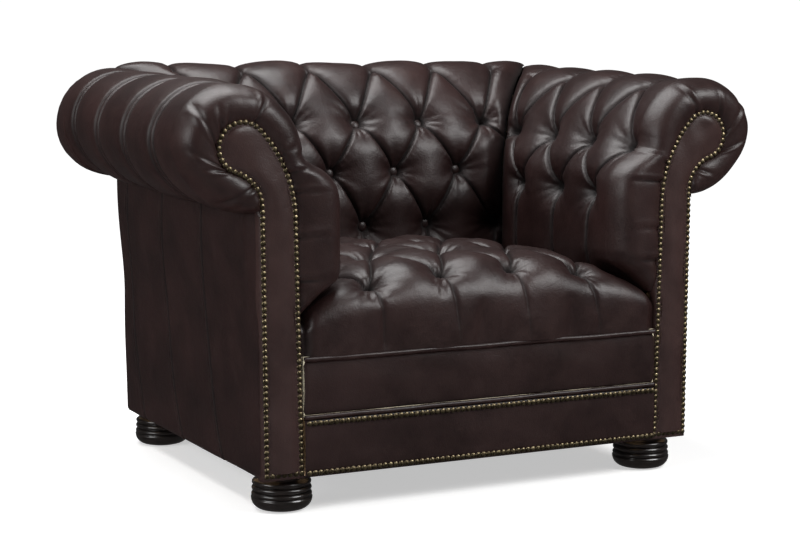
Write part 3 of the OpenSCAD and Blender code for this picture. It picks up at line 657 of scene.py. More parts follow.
def build_arm(side, name):
    """side is 1 for the right arm and -1 for the left."""
    lower, upper = arm_rows()
    s_crest = arm.at_angle(CREST_ROW)
    crest = [upper[1][0] + PITCH * (k + 0.5) for k in range(4)]
    first = upper[1][0]
    tufts = Tufts(11 if side > 0 else 12)
    diamonds(tufts, [lower, upper, (s_crest, crest)], 0.023)
    for u in lower[1]:
        tufts.pleat((u, 0.0), (u, lower[0]), (0.010, 0.023), 0.012, 0.055)
    tufts.pleat((upper[1][-1] + PITCH / 2, 0.0), (upper[1][-1] + PITCH / 2, lower[0]), (0.010, 0.02), 0.012, 0.055)
    tufts.pleat((upper[1][-1] + PITCH / 2, lower[0]), (upper[1][-1], upper[0]), (0.02, 0.023), 0.015, 0.055)
    for u in crest:
        tufts.pleat((u, s_crest), (u, arm.length), (0.020, 0.009), 0.0125, 0.060)
        tufts.pleat((u + 6 * CELL, s_crest + 0.02), (u + 6 * CELL, arm.length), (0.004, 0.008), 0.0110, 0.030)
    tufts.pleat((first - 0.060, upper[0] + 0.004), (first, upper[0]), (0.006, 0.023), 0.014, 0.045)
    tufts.pleat((back.c + 0.004, s_crest), (back.c + 0.004, arm.length), (0.018, 0.010), 0.013, 0.055)
    for s, us in (lower, upper):
        for u in us:
            tufts.button(u, s, BUTTON_PULL)

    front = FRONT_Y + FRONT_ROUND
    steps = int(round((first - front) / CELL))
    us = np.concatenate([first + CELL * np.arange(-steps, int((back.c - first) / CELL)), [back.c]])
    ss = stations([0, lower[0], upper[0], s_crest, arm.length], [45, CELLS, CELLS, 105])
    u, s = np.meshgrid(us, ss)
    x, z, nx, nz = arm.point(s)
    y = np.minimum(u, mitre_y(x))
    deep, ripple, crease_shade = tufts.depth(y, s)
    mitre = np.clip((mitre_y(x) - y) / 0.050, 0, 1)
    fold = hollow(mitre)
    inner = np.clip((arm.c - x) / 0.03, 0, 1)
    deep = (deep ** 3 + (0.024 * fold * inner) ** 3) ** (1 / 3)
    # Painted shade along the mitre where the arm meets the back
    crease_shade = np.maximum(crease_shade, np.exp(-(mitre_y(x) - y) / 0.004) * inner)
    deep += 0.0022 * waves(y, s, 0.16, tufts.seed + 3) + 0.0024 - ripple - roll_swell(y, s, nx)
    moved = x - nx * deep - inner_swell(y, z) * (mitre >= 1)
    close = (mitre_y(moved) - mitre_y(x)) * np.exp(-(mitre_y(x) - y) / 0.030)
    body = np.stack([moved, y + close, z - nz * deep + crest_shift(y, z) + under_shift(y, nz)], -1)
    tone = [crease_shade, deep + 0.002 + roll_swell(y, s, nx)]

    # The corner: the outer half of the roll turns about the mitre's far end
    turn = np.linspace(0, math.pi / 2, CORNER_STEPS + 1)[1:]
    last = body[:, -1]
    reach = np.maximum(last[:, 0] - arm.c, 0)
    a, rr = np.meshgrid(turn, reach)
    pull = (0.011 * np.exp(-np.abs(a - math.pi / 4) / 0.09) + 0.011 * np.exp(-np.abs(a - math.pi / 2) / 0.10)
            + 0.009 * smooth(a, math.radians(55), math.radians(90))) * smooth(rr, 0.0, 0.05)
    bx, bz = rr, last[:, 2:3] - arm.cz
    length = np.hypot(bx, bz)
    rr2, zz2 = bx * (1 - pull / length), arm.cz + bz * (1 - pull / length)
    corner = np.stack([np.where(rr > 0, arm.c + rr2 * np.cos(a), last[:, 0:1]),
                       np.where(rr > 0, back.c + rr2 * np.sin(a), last[:, 1:2]),
                       np.where(rr > 0, zz2, last[:, 2:3])], -1)
    # Painted shade in the two folds at the corner
    corner_crease_shade = np.maximum(np.exp(-np.abs(a - math.pi / 4) / 0.03), np.exp(-np.abs(a - math.pi / 2) / 0.04)) \
        * smooth(rr, 0.0, 0.05)

    # The front: the padding rounds the edge and runs in to the facing
    first_col = body[:, 0]
    gather = np.random.default_rng(tufts.seed + 5)
    places = [arm.at_angle(math.radians(g)) for g in END_ANGLES[side]] + [arm.at_height(h) for h in END_HEIGHTS[side]]
    strength = gather.uniform(0.65, 1.0, len(places))
    begins = np.concatenate([gather.uniform(0.02, 0.36, len(END_ANGLES[side])),
                             gather.uniform(0.20, 0.50, len(END_HEIGHTS[side]))])
    lean = gather.uniform(-0.35, 0.35, len(places))
    fx, fz = facing_edge(ss)
    turns = np.linspace(0, math.pi / 2, ROUND_STEPS + 1)[1:]
    columns, crease_shades = [], []
    for t in turns:
        inset = 1 - math.cos(t)
        ahead = FRONT_ROUND * math.sin(t)
        columns.append((inset, ahead, t / (math.pi / 2) * 0.5))
    reach = np.hypot(first_col[:, 0] - fx, first_col[:, 2] - fz)
    round_in = np.minimum(FRONT_ROUND, 0.75 * reach)
    room = np.clip(reach / 0.035, 0, 1)
    for k in range(1, FACE_STEPS + 1):
        columns.append((None, FRONT_ROUND, 0.5 + 0.5 * k / FACE_STEPS))
    front_cols = []
    for inset, ahead, share in columns:
        if inset is None:
            w = (share - 0.5) * 2
            inset = round_in + (reach + 0.004 - round_in) * w
            swell = FRONT_SWELL * (1 - w ** 2.2) - 0.004 * w ** 6
        else:
            inset = inset * round_in
            swell = FRONT_SWELL * smooth(np.array(ahead / FRONT_ROUND), 0.3, 1.0)
        dirx, dirz = (fx - first_col[:, 0]) / reach, (fz - first_col[:, 2]) / reach
        gathered = np.zeros_like(ss)
        for p, g, begin, l in zip(places, strength, begins, lean):
            off = ss - p - l * 0.05 * (1 - share)
            fade = float(smooth(np.array(share), begin, begin + 0.3))
            gathered += g * fade * (np.exp(-np.abs(off) / 0.0050) - 0.45 * np.exp(-((off - 0.011) / 0.006) ** 2))
        gathered = gathered * room
        amount = 0.0105 * gathered - 0.0012 * share * waves(ss, ss * 0, 0.045, tufts.seed + 9)
        normal_in = math.cos(share * math.pi / 2)
        px = first_col[:, 0] + dirx * (inset + amount * normal_in)
        pz = first_col[:, 2] + dirz * (inset + amount * normal_in)
        tuck = 0.013 * (1 - smooth(pz, 0.345, 0.42)) * smooth(np.array(share), 0.0, 0.4)
        py = front - ahead - swell * room + amount * (1 - normal_in) + tuck + (1 - room) * 0.004
        front_cols.append(np.stack([px, np.broadcast_to(py, px.shape), pz], -1))
        # Painted shade along the gathers round the front
        crease_shades.append(np.clip(gathered - 0.45, 0, 1) * 1.6)
    front_grid = np.stack(front_cols[::-1], 1)
    front_crease_shade = np.stack(crease_shades[::-1], 1)

    outer = np.concatenate([front_grid, body, corner], 1)
    crease_shade = np.concatenate([front_crease_shade, tone[0], corner_crease_shade], 1)
    deep_all = np.concatenate([np.full(front_crease_shade.shape, 0.003), tone[1],
                               np.repeat(tone[1][:, -1:], CORNER_STEPS, 1)], 1)
    split = np.zeros((len(ss) - 1, outer.shape[1] - 1), int)
    cells = pleat_cells(us, ss, tufts)
    split[:, front_grid.shape[1]:front_grid.shape[1] + cells.shape[1]] = cells

    held = pinned(crease_shade)
    start = front_grid.shape[1]
    held[:, :start - 12] = 1
    held[:, start:start + body.shape[1]][u > mitre_y(x) - 0.004] = 1
    held[:, start + body.shape[1]:][rr <= 0] = 1
    outer = relax(outer, held, start + steps, True)
    cols = outer.shape[1]
    points = outer.reshape(-1, 3)
    tones = {"crease_shade": crease_shade.ravel(), "raised": high_spots(deep_all)}
    faces = grid_faces(outer.shape[0], cols, False, split)
    points = points * np.array([side, 1, 1])
    if side < 0:
        faces = [f[::-1] for f in faces]
    piece = make_object(name, points, faces, tones, LEATHER)
    label = "right" if side > 0 else "left"
    settle(piece, "leather", "arm_cover_" + label, "arm_padding_" + label)


build_arm(1, "tufted_arm_right")
build_arm(-1, "tufted_arm_left")


# ---- Padded back ----

def build_back():
    rows = []
    for k, z in enumerate(BACK_ROW_Z):
        xs = sorted(b[0] for b in back_buttons if abs(b[2] - z) < 0.02)
        xs = [xs[0] - PITCH] + xs + [xs[-1] + PITCH]
        rows.append((back.at_height(z), xs))
    s_crest = back.at_angle(CREST_ROW)
    crest = [(k - 2.5) * PITCH for k in range(6)]
    tufts = Tufts(31)
    diamonds(tufts, rows + [(s_crest, crest)], 0.024)
    for u in rows[0][1]:
        tufts.pleat((u, 0.0), (u, rows[0][0]), (0.010, 0.023), 0.012, 0.055)
    for u in crest:
        tufts.pleat((u, s_crest), (u, back.length), (0.021, 0.008), 0.0135, 0.060)
    for s, us in rows:
        for u in us:
            tufts.button(u, s, BUTTON_PULL)
    half = int(arm.c / CELL)
    us = np.concatenate([[-arm.c], CELL * np.arange(-half, half + 1), [arm.c]])
    ss = stations([0, rows[0][0], rows[1][0], rows[2][0], s_crest, back.length], [27, CELLS, CELLS, CELLS, 90])
    u, s = np.meshgrid(us, ss)
    y, z, ny, nz = back.point(s)
    limit = mitre_x(y)
    x = np.clip(u, -limit, limit)
    deep, ripple, crease_shade = tufts.depth(x, s)
    gap = limit - np.abs(x)
    mitre = np.clip(gap / 0.050, 0, 1)
    fold = hollow(mitre)
    inner = np.clip((back.c - y) / 0.03, 0.45, 1)
    deep = (deep ** 3 + (0.024 * fold * inner) ** 3) ** (1 / 3)
    # Painted shade along the mitres where the back meets the arms
    crease_shade = np.maximum(crease_shade, np.exp(-gap / 0.004) * inner)
    deep += 0.0022 * waves(x, s, 0.16, 34) + 0.0024 - ripple
    moved = y - ny * deep
    close = np.sign(x) * (mitre_x(moved) - mitre_x(y)) * np.exp(-gap / 0.030)
    points = np.stack([x + close, moved, z - nz * deep + under_shift(back.c, nz)], -1)
    held = np.where(gap < 0.004, 1, pinned(crease_shade))
    points = relax(points, held, half + 1, False)
    faces = grid_faces(len(ss), len(us), False, pleat_cells(us, ss, tufts))
    faces = [f[::-1] for f in faces]
    tones = {"crease_shade": crease_shade.ravel(), "raised": high_spots(deep)}
    piece = make_object("tufted_back", points.reshape(-1, 3), faces, tones, LEATHER)
    settle(piece, "leather", "back_cover", "back_padding")


build_back()


# ---- Seat ----

SEAT_EDGE_R = 0.076
SEAT_RISE = 0.006
SEAT_X = BAND_X + 0.0005
SEAT_REAR = back.face + 0.012
SEAT_CROWN = 0.078


def seat_section(s):
    """The seat's front edge and top at a length s up from the welt: how far back, height, and outward direction."""
    base = SEAT_WELT.z + WELT_R * 0.6
    edge_y, edge_z = SEAT_Y + SEAT_EDGE_R, SEAT_TOP - SEAT_RISE - SEAT_EDGE_R
    upright = edge_z - base
    bend = SEAT_EDGE_R * math.radians(84)
    t = np.clip((s - upright) / bend, 0, 1)
    a = math.pi - t * math.radians(84)
    y = edge_y + SEAT_EDGE_R * np.cos(a)
    z = np.where(s < upright, base + s, edge_z + SEAT_EDGE_R * np.sin(a))
    flat = np.clip(s - upright - bend, 0, None)
    span = SEAT_REAR - (edge_y + SEAT_EDGE_R * math.cos(math.radians(96)))
    y = y + flat
    z = z + SEAT_RISE * np.sin(np.clip(flat / span, 0, 1) * math.pi * 1.25)
    return y, z, np.cos(a), np.sin(a), upright + bend + span


def build_seat():
    total = float(seat_section(np.array(0.0))[4])
    line = np.linspace(0, total, 2000)
    line_y = seat_section(line)[0]
    rows = []
    for y in sorted(set(np.round(seat_buttons[:, 1], 3))):
        xs = sorted(b[0] for b in seat_buttons if abs(b[1] - y) < 0.005)
        rows.append((float(np.interp(y, line_y, line)), xs))
    tufts = Tufts(51)
    wide = []
    for k, (s, xs) in enumerate(rows):
        wide.append((s, [xs[0] - PITCH] + xs + [xs[-1] + PITCH]))
    diamonds(tufts, wide, 0.025)
    for u, lean in zip(wide[0][1], (0.006, 0.009, 0.012, 0.015, 0.024, 0.020)):
        tufts.pleat((u + lean, 0.004), (u, rows[0][0]), (0.0015, 0.020), 0.0045, 0.034)
    for u in wide[-1][1]:
        tufts.pleat((u, rows[-1][0]), (u, total), (0.020, 0.010), 0.013, 0.055)
    for s, us in rows:
        for u in us:
            tufts.button(u, s, BUTTON_PULL)
    half = int(SEAT_X / CELL)
    us = np.concatenate([[-SEAT_X], CELL * np.arange(-half, half + 1), [SEAT_X]])
    marks = [0] + [s for s, _ in rows] + [total]
    ss = stations(marks, [33] + [CELLS] * (len(rows) - 1) + [18])
    x, s = np.meshgrid(us, ss)
    y, z, ny, nz, _ = seat_section(s)
    deep, ripple, crease_shade = tufts.depth(x, s)
    deep = (deep - ripple) * (smooth(s, 0.0, 0.020) * 0.85 + 0.15)
    drop = SEAT_CROWN * (np.abs(x) / SEAT_X) ** 3.0
    base = SEAT_WELT.z
    z = base + (z - base) * (1 - drop / (SEAT_TOP - base))
    side = smooth(np.abs(x), SEAT_X - 0.030, SEAT_X)
    deep = deep + 0.0034 * waves(x, s, 0.15, 57) + 0.002
    rear = 0.020 * smooth(y, SEAT_REAR - 0.035, SEAT_REAR)
    inside = smooth(y, FRONT_Y + 0.02, FRONT_Y + 0.06)
    arms = 0.022 * smooth(np.abs(x), arm.face - 0.035, arm.face + 0.02) * inside
    edge = 0.012 * side ** 2 * (1 - inside)
    points = np.stack([x, y - ny * deep + edge, z - nz * deep - rear - arms], -1)
    points = relax(points, pinned(crease_shade), half + 1, True, 6.0, 0.008)
    faces = grid_faces(len(ss), len(us), False, pleat_cells(us, ss, tufts))
    # Painted shade along the seat's rear edge, where it meets the back, added to the crease shade
    tones = {"crease_shade": np.maximum(crease_shade, np.exp(-(SEAT_REAR - y) / 0.006)).ravel(),
             "raised": high_spots(deep)}
    piece = make_object("tufted_seat", points.reshape(-1, 3), faces, tones, LEATHER)
    settle(piece, "leather", "seat_cover", "seat_padding")


build_seat()


# ---- Buttons, nails and feet ----

def lathe(profile, sides):
    """Points and faces of a turned shape about +Z, from (radius, height) pairs that start and end on the axis."""
    rows = len(profile)
    a = np.linspace(0, 2 * math.pi, sides, endpoint=False)
    r, h = np.array(profile).T
    points = np.stack([np.outer(r, np.cos(a)), np.outer(r, np.sin(a)), np.outer(h, np.ones(sides))], -1)
    faces = [(j * sides + i, j * sides + (i + 1) % sides, (j + 1) * sides + (i + 1) % sides, (j + 1) * sides + i)
             for j in range(rows - 1) for i in range(sides)]
    return points.reshape(-1, 3), faces


def scatter(name, shape, places, material, tones=()):
    """One object made of a copy of a shape at each place, given as (origin, 3 by 3 rotation, scale)."""
    points, faces = shape
    all_points, all_faces, tone = [], [], []
    for k, (origin, turn, size) in enumerate(places):
        all_points.append(points @ np.array(turn).T * size + np.array(origin))
        all_faces += [tuple(i + k * len(points) for i in f) for f in faces]
        tone.append(np.full(len(points), rng.uniform(0, 1)))
    values = {key: np.concatenate(tone) * scale for key, scale in tones} or {"tone": np.concatenate(tone)}
    return make_object(name, np.concatenate(all_points), all_faces, values, material)


def facing_to(direction):
    """A rotation that takes +Z to the direction."""
    z = np.array(direction, float)
    z /= np.linalg.norm(z)
    x = np.cross([0, 1, 0], z) if abs(z[1]) < 0.9 else np.cross([1, 0, 0], z)
    x /= np.linalg.norm(x)
    return np.stack([x, np.cross(z, x), z], 1)


BUTTON_R = 0.0106
button_shape = lathe([(0, -0.006), (BUTTON_R * 0.8, -0.006), (BUTTON_R, -0.0035), (BUTTON_R * 1.02, -0.0012)]
                     + [(BUTTON_R * 1.02 * math.cos(math.radians(a)), 0.0052 * math.sin(math.radians(a)))
                        for a in range(12, 91, 13)] + [(0, 0.0052)], 28)


def roll_places(roll, buttons, row_z, along, across, side=1):
    places = []
    for b in buttons:
        z = min(row_z, key=lambda h: abs(h - b[2]))
        p, pz, n0, n1 = (float(v) for v in roll.point(np.array(roll.at_height(z))))
        sunk = BUTTON_PULL - 0.0035
        origin, direction = [0, 0, pz - n1 * sunk], [0, 0, n1]
        origin[across], origin[along] = p - n0 * sunk, b[along]
        direction[across] = n0
        origin[0], direction[0] = origin[0] * side, direction[0] * side
        places.append((origin, facing_to(direction), rng.uniform(0.97, 1.03)))
    return places


for side, label in ((1, "right"), (-1, "left")):
    places = roll_places(arm, arm_buttons, ARM_ROW_Z, 1, 0, side)
    for origin, _, _ in places:
        origin[2] += float(crest_shift(np.array(origin[1]), np.array(origin[2])))
    piece = scatter("buttons_arm_" + label, button_shape, places, LEATHER, [("raised", 0.6)])
    settle(piece, "leather", "arm_buttons_" + label)
piece = scatter("buttons_back", button_shape, roll_places(back, back_buttons, BACK_ROW_Z, 0, 1), LEATHER,
                [("raised", 0.6)])
settle(piece, "leather", "back_buttons")

places = []
for b in seat_buttons:
    line = np.linspace(0, 0.6, 1200)
    at = float(np.interp(b[1], seat_section(line)[0], line))
    _, top, ny, nz, _ = (float(v) for v in seat_section(np.array(at)))
    top = SEAT_WELT.z + (top - SEAT_WELT.z) * (1 - SEAT_CROWN * abs(b[0] / SEAT_X) ** 3 / (SEAT_TOP - SEAT_WELT.z))
    places.append(((b[0], b[1] - ny * BUTTON_PULL, top - nz * BUTTON_PULL), facing_to((0, ny, nz)), 1.0))
piece = scatter("buttons_seat", button_shape, places, LEATHER, [("raised", 0.6)])
settle(piece, "leather", "seat_buttons")

NAIL_R = 0.0048
nail_shape = lathe([(0, -0.004), (0.0008, -0.004), (0.0008, 0), (NAIL_R, 0), (NAIL_R * 1.0, 0.0006)]
                   + [(NAIL_R * math.cos(math.radians(a)), 0.0006 + 0.0025 * math.sin(math.radians(a)))
                      for a in range(15, 91, 15)], 16)
for name in ("facing_nails_left", "facing_nails_right", "upper_band_nails", "lower_band_nails"):
    places = []
    for c in islands(name):
        y = APRON_Y if abs(c[1] - centre("upper_band_nails").y) < 0.002 else FRONT_Y
        tilt = rng.uniform(-0.08, 0.08, 2)
        places.append(((c[0], y, c[2]), facing_to((tilt[0], -1, tilt[1])), rng.uniform(0.97, 1.04)))
    settle(scatter("studs_" + name, nail_shape, places, BRASS), "antique_brass", name)

foot_profile = [(0, 0), (0.030, 0), (0.034, 0.0015)]
foot_profile += [(0.034 + 0.019 * math.sin(math.radians(a)), 0.0015 + 0.0205 * (1 - math.cos(math.radians(a))))
                 for a in range(10, 91, 10)]
for bead in range(3):
    mid = 0.0275 + bead * 0.0103
    foot_profile += [(0.0462 + 0.0062 * math.cos(math.radians(a)) - 0.0006 * bead,
                      mid + 0.0049 * math.sin(math.radians(a))) for a in range(-80, 81, 20)]
foot_profile += [(0.043, 0.0545), (0.042, 0.0565), (0.042, FOOT_H), (0, FOOT_H)]
foot_shape = lathe(foot_profile, 96)
for name in ("foot_front_left", "foot_front_right", "foot_rear_left", "foot_rear_right"):
    c = centre(name)
    piece = scatter("bun_" + name, foot_shape, [((c.x, c.y, 0), np.eye(3), 1.0)], EBONY)
    settle(piece, "ebonised_wood", name)

# ---- Facings ----


FACING_CROWN = 0.0050


def build_facing(side, label):
    depths = [(-0.0022, 0.0200), (-0.0022, 0.0050), (0.0, 0.0012), (0.0008, 0.0002), (0.0020, -0.0003),
              (0.0046, -0.0005), (0.0075, -0.0011), (0.0110, -0.0016)]
    rings = []
    for inset, ahead in depths:
        line = facing_outline(inset)
        rings.append(np.stack([line[:, 0] + HALF_W, np.full(len(line), FRONT_Y + ahead), line[:, 1]], -1))
    n = len(rings[0])
    # Rungs from the outer edge to the inner one carry a slight crown
    half, rungs = n // 2, 14
    inner = rings[-1]
    left, right = inner[:half], inner[::-1][:half]
    t = np.linspace(0, 1, rungs + 1)[None, :, None]
    ladder = left[:, None] * (1 - t) + right[:, None] * t
    width = np.linalg.norm(right - left, axis=1)[:, None]
    ladder[..., 1] -= FACING_CROWN * (1 - (2 * t[..., 0] - 1) ** 2) * np.clip(width / 0.05, 0, 1)
    ladder[..., 1] += 0.0011 * waves(ladder[..., 0], ladder[..., 2], 0.06, 91 + side)
    points = np.concatenate(rings + [ladder.reshape(-1, 3)])
    faces = [(j * n + i, (j + 1) * n + i, (j + 1) * n + (i + 1) % n, j * n + (i + 1) % n)
             for j in range(len(rings) - 1) for i in range(n)]
    first = len(rings) * n
    faces += [tuple(first + k for k in f) for f in grid_faces(half, rungs + 1)]
    points = points * np.array([side, 1, 1])
    if side > 0:
        faces = [f[::-1] for f in faces]
    piece = make_object("facing_" + label, points, faces,
                        {"crease_shade": np.zeros(len(points)), "raised": np.full(len(points), 0.5)}, FACING)
    settle(piece, "facing_leather", "facing_leather_" + label)


build_facing(1, "right")
build_facing(-1, "left")

# ---- Front bands ----


def band(name, node, low_z, high_z, y, edge, swell, seed, half):
    """A leather-covered band across the front, with rounded edges and a slight swell."""
    us = np.linspace(-half, half, 190)
    turn = np.radians([90, 70, 50, 30, 15, 0])
    profile = [(edge * (1 - math.cos(a)) + 0.004 * (a > 1.5), low_z + edge * (1 - math.sin(a))) for a in turn]
    flat = [(0.0, low_z + edge + (high_z - low_z - 2 * edge) * i / 26) for i in range(1, 26)]
    profile = [(d, z) for d, z in profile] + flat + [(edge * (1 - math.cos(a)) + 0.004 * (a > 1.5),
                                                      high_z - edge * (1 - math.sin(a))) for a in turn[::-1]]
    d, z = np.array(profile).T
    x, dd = np.meshgrid(us, d)
    zz = np.repeat(z[:, None], len(us), 1)
    t = (zz - low_z) / (high_z - low_z)
    lift = swell * np.sin(np.clip(t, 0, 1) * math.pi) ** 0.8
    lift += 0.0009 * waves(x * 0.35, zz, 0.05, seed) * np.sin(t * math.pi)
    ends = 0.002 * (1 - np.sqrt(np.clip(1 - (1 - np.clip((half - np.abs(x)) / 0.003, 0, 1)) ** 2, 0, 1)))
    yy = y + dd - lift + ends
    points = np.stack([x, yy, zz], -1)
    # Painted shade along the band's top and bottom edges beside the piping; wear is less there
    rim_shade = np.exp(-np.minimum(t, 1 - t) / 0.02)
    faces = grid_faces(len(z), len(us))
    piece = make_object(name, points.reshape(-1, 3), faces, {"crease_shade": (0.5 * rim_shade).ravel(),
                                                              "raised": (1 - rim_shade).ravel() * 0.5}, LEATHER)
    settle(piece, "leather", node)
    return piece


band("border_band", "front_border", BORDER_WELT.z + 0.001, SEAT_WELT.z - 0.001, FRONT_Y, 0.006, 0.0045, 3,
               BAND_X)
band("apron_band", "front_apron", FOOT_H, APRON_TOP, APRON_Y + 0.0025, 0.004, 0.0025, 4, BAND_X)


def welt(name, node, place, seed):
    """Piping: a covered cord with its flange's seam at the back."""
    us = np.linspace(-BAND_X, BAND_X, 260)
    a = np.linspace(0, 2 * math.pi, 14, endpoint=False)
    x, t = np.meshgrid(us, a)
    r = WELT_R * (1 + 0.05 * waves(x, t * 0.004, 0.03, seed))
    sway = 0.0006 * waves(x, x * 0, 0.12, seed + 1)
    points = np.stack([x, place.y + r * np.cos(t), place.z + sway + r * np.sin(t)], -1)
    faces = grid_faces(len(a), len(us), True)
    faces.append([i * len(us) for i in range(len(a))])
    faces.append([(len(a) - i) * len(us) - 1 for i in range(len(a))])
    # Painted shade on the back half of the piping, turned in against the band; the front half is given more wear
    seam = np.clip(np.cos(t), 0, 1) * 0.6
    piece = make_object(name, points.reshape(-1, 3), faces, {"crease_shade": seam.ravel(),
                                                              "raised": (0.7 - seam).ravel()}, LEATHER)
    settle(piece, "leather", node)


welt("piping_seat", "seat_welt", SEAT_WELT, 5)
welt("piping_border", "border_welt", BORDER_WELT, 6)

# ---- Outside panels ----

SEAMS = (((-0.1305, 0.510), (-0.1195, 0.362), (-0.1895, 0.064)),
         ((0.0725, 0.510), (0.0855, 0.362), (0.0125, 0.064)),
         ((0.2695, 0.510), (0.2805, 0.362), (0.2215, 0.064)))
PANEL_TOP = float(arm.cz - arm.r * math.sin(math.acos((HALF_W - arm.c) / arm.r)))
CORNER_R = 0.011


def seam_y(seam, z):
    (y2, z2), (y1, z1), (y0, z0) = seam
    fit = np.polyfit([z0, z1, z2], [y0, y1, y2], 2)
    return np.polyval(fit, z)


def flare(z):
    """The outside panels stand out a little under the rolls."""
    return 0.014 * smooth(z, 0.30, PANEL_TOP)


def build_outside_arm(side, label):
    zs = np.linspace(FOOT_H, PANEL_TOP + 0.034, 126)
    edges = [np.full_like(zs, FRONT_Y + 0.0045)] + [seam_y(s, zs) for s in SEAMS] \
        + [np.full_like(zs, BACK_Y - CORNER_R)]
    counts = [60, 54, 54, 22]
    rows_y, marks = [], []
    for a, b, n in zip(edges, edges[1:], counts):
        t = np.linspace(0, 1, n, endpoint=False)
        rows_y.append(a[:, None] + (b - a)[:, None] * t[None])
    y = np.concatenate(rows_y + [edges[-1][:, None]], 1)
    z = np.repeat(zs[:, None], y.shape[1], 1)
    groove = np.zeros_like(y)
    for e in edges[1:-1]:
        gap = y - e[:, None]
        groove += 0.0028 * np.exp(-np.abs(gap) / 0.0022) - 0.0012 * np.exp(-((gap - 0.006) / 0.006) ** 2)
    swell = 0.0025 * np.sin(np.clip((z - FOOT_H) / (PANEL_TOP - FOOT_H), 0, 1) * math.pi)
    x = HALF_W + 0.002 + flare(z) + swell - groove + 0.0010 * waves(y, z, 0.22, 71)
    bottom = smooth(z, FOOT_H, FOOT_H + 0.006)
    x -= 0.004 * (1 - bottom)
    front = np.clip((y - FRONT_Y - 0.0045) / 0.006, 0, 1)
    x -= 0.003 * (1 - front) ** 2 + flare(z) * (1 - smooth(y, FRONT_Y, FRONT_Y + 0.05))
    # Painted shade along the seams' grooves
    crease_shade = sum(np.exp(-np.abs(y - e[:, None]) / 0.0025) for e in edges[1:-1])
    points = np.stack([x * side, y, z], -1)
    faces = grid_faces(y.shape[0], y.shape[1])
    if side < 0:
        faces = [f[::-1] for f in faces]
    piece = make_object("outside_panel_" + label, points.reshape(-1, 3), faces,
                        {"crease_shade": np.clip(crease_shade, 0, 1).ravel(), "raised": np.full(y.size, 0.35)}, LEATHER)
    settle(piece, "leather", "outside_arm_" + label)


build_outside_arm(1, "right")
build_outside_arm(-1, "left")


def build_outside_back():
    """The outside back is one sheet of leather that turns both rear corners."""
    straight = HALF_W - CORNER_R
    turn = np.linspace(0, math.pi / 2, 13)
    plan = [(HALF_W - CORNER_R + CORNER_R * math.cos(a), BACK_Y - CORNER_R + CORNER_R * math.sin(a), math.cos(a),
             math.sin(a)) for a in turn]
    plan += [(x, BACK_Y, 0.0, 1.0) for x in np.linspace(straight, -straight, 150)[1:-1]]
    plan += [(-px, py, -nx, ny) for px, py, nx, ny in plan[:13][::-1]]
    px, py, nx, ny = np.array(plan).T
    top = float(back.cz - back.r * math.sin(math.acos((BACK_Y - back.c) / back.r))) + 0.034
    zs = np.linspace(FOOT_H, top, 110)
    z = np.repeat(zs[:, None], len(px), 1)
    x, y = np.repeat(px[None], len(zs), 0), np.repeat(py[None], len(zs), 0)
    out = flare(z) + 0.004 * np.sin(np.clip((z - FOOT_H) / (top - FOOT_H), 0, 1) * math.pi) * (np.abs(x) < straight)
    out += 0.0012 * waves(x, z, 0.25, 81)
    out -= 0.004 * (1 - smooth(z, FOOT_H, FOOT_H + 0.006))
    points = np.stack([x + nx * out, y + ny * out, z], -1)
    faces = grid_faces(len(zs), len(px))
    piece = make_object("outside_back_panel", points.reshape(-1, 3), faces,
                        {"crease_shade": np.zeros(z.size), "raised": np.full(z.size, 0.35)}, LEATHER)
    settle(piece, "leather", "outside_back")


build_outside_back()

# ---- Finish of the CAD nodes that stay ----

for row in frame["record"]["subparts"]:
    thing = frame["nodes"][row["node"]]
    if not thing.material_slots:
        thing.data.materials.append(None)
    for holder in thing.material_slots:
        holder.material = SLOT_MATERIALS[row["material_slot"]]

# ---- Floor, lights and camera ----

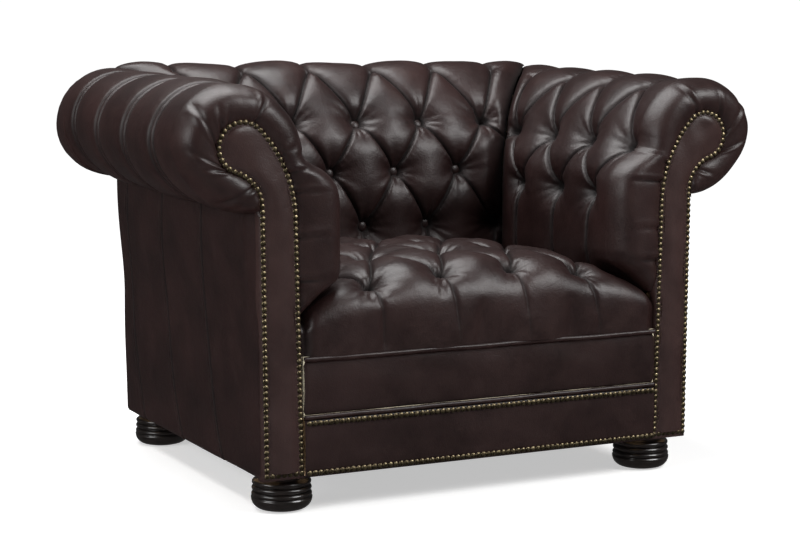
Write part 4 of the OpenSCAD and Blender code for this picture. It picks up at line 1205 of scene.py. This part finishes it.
floor = make_object("floor", np.array([(-9, -6, 0), (9, -6, 0), (9, 14, 0), (-9, 14, 0)], float), [(0, 1, 2, 3)], {},
                    bpy.data.materials.new("floor_pale_glowing"))
floor.data.materials[0].use_nodes = True
paint = floor.data.materials[0].node_tree.nodes["Principled BSDF"]
paint.inputs["Base Color"].default_value = (0.86, 0.86, 0.86, 1)
paint.inputs["Roughness"].default_value = 0.9
paint.inputs["Emission Color"].default_value = (1, 1, 1, 1)
tree = floor.data.materials[0].node_tree
# The floor glows as painted light: its emission rises from 0.5 near the chair to 1.05 beyond 3.2 m, so it is dimmer
# round the chair
spot = tree.nodes.new("ShaderNodeTexCoord")
reach = tree.nodes.new("ShaderNodeVectorMath")
reach.operation = "LENGTH"
glow = tree.nodes.new("ShaderNodeMapRange")
glow.inputs["From Min"].default_value, glow.inputs["From Max"].default_value = 0.6, 3.2
glow.inputs["To Min"].default_value, glow.inputs["To Max"].default_value = 0.50, 1.05
tree.links.new(spot.outputs["Object"], reach.inputs[0])
tree.links.new(reach.outputs["Value"], glow.inputs["Value"])
tree.links.new(glow.outputs["Result"], paint.inputs["Emission Strength"])
floor.visible_glossy = False

world = bpy.data.worlds.new("studio")
bpy.context.scene.world = world
world.use_nodes = True
sky = world.node_tree.nodes["Background"]
sky.inputs["Color"].default_value = (1, 1, 1, 1)
rays = world.node_tree.nodes.new("ShaderNodeLightPath")
level = world.node_tree.nodes.new("ShaderNodeMapRange")
level.inputs["To Min"].default_value, level.inputs["To Max"].default_value = 0.05, 1.05
world.node_tree.links.new(rays.outputs["Is Camera Ray"], level.inputs["Value"])
world.node_tree.links.new(level.outputs["Result"], sky.inputs["Strength"])


def area_light(name, place, target, size, power):
    data = bpy.data.lights.new(name, "AREA")
    data.shape, data.size, data.size_y, data.energy = "RECTANGLE", size[0], size[1], power
    lamp = bpy.data.objects.new(name, data)
    bpy.context.scene.collection.objects.link(lamp)
    turn = facing_to([p - t for p, t in zip(place, target)])
    matrix = np.eye(4)
    matrix[:3, :3], matrix[:3, 3] = turn, place
    lamp.matrix_world = Matrix(matrix.tolist())


area_light("key", (1.7, -2.3, 2.6), (0, 0, 0.4), (1.8, 1.4), 95)
area_light("overhead", (-0.5, 0.2, 2.5), (0, 0, 0.4), (2.2, 1.5), 85)
area_light("fill", (-3.2, -0.9, 1.5), (0, 0, 0.5), (1.3, 1.9), 44)

CAMERA_PLACE = (-1.6348, -3.2778, 0.7998)
CAMERA_YAW, CAMERA_DIP = math.radians(-26.74), math.radians(7.05)
camera = bpy.data.objects.new("camera", bpy.data.cameras.new("camera"))
bpy.context.scene.collection.objects.link(camera)
camera.location = CAMERA_PLACE
camera.rotation_euler = (math.pi / 2 - CAMERA_DIP, 0, CAMERA_YAW)
camera.data.lens, camera.data.sensor_width = 86.14, 36.0
bpy.context.scene.camera = camera
bpy.context.scene.view_settings.view_transform = "Standard"
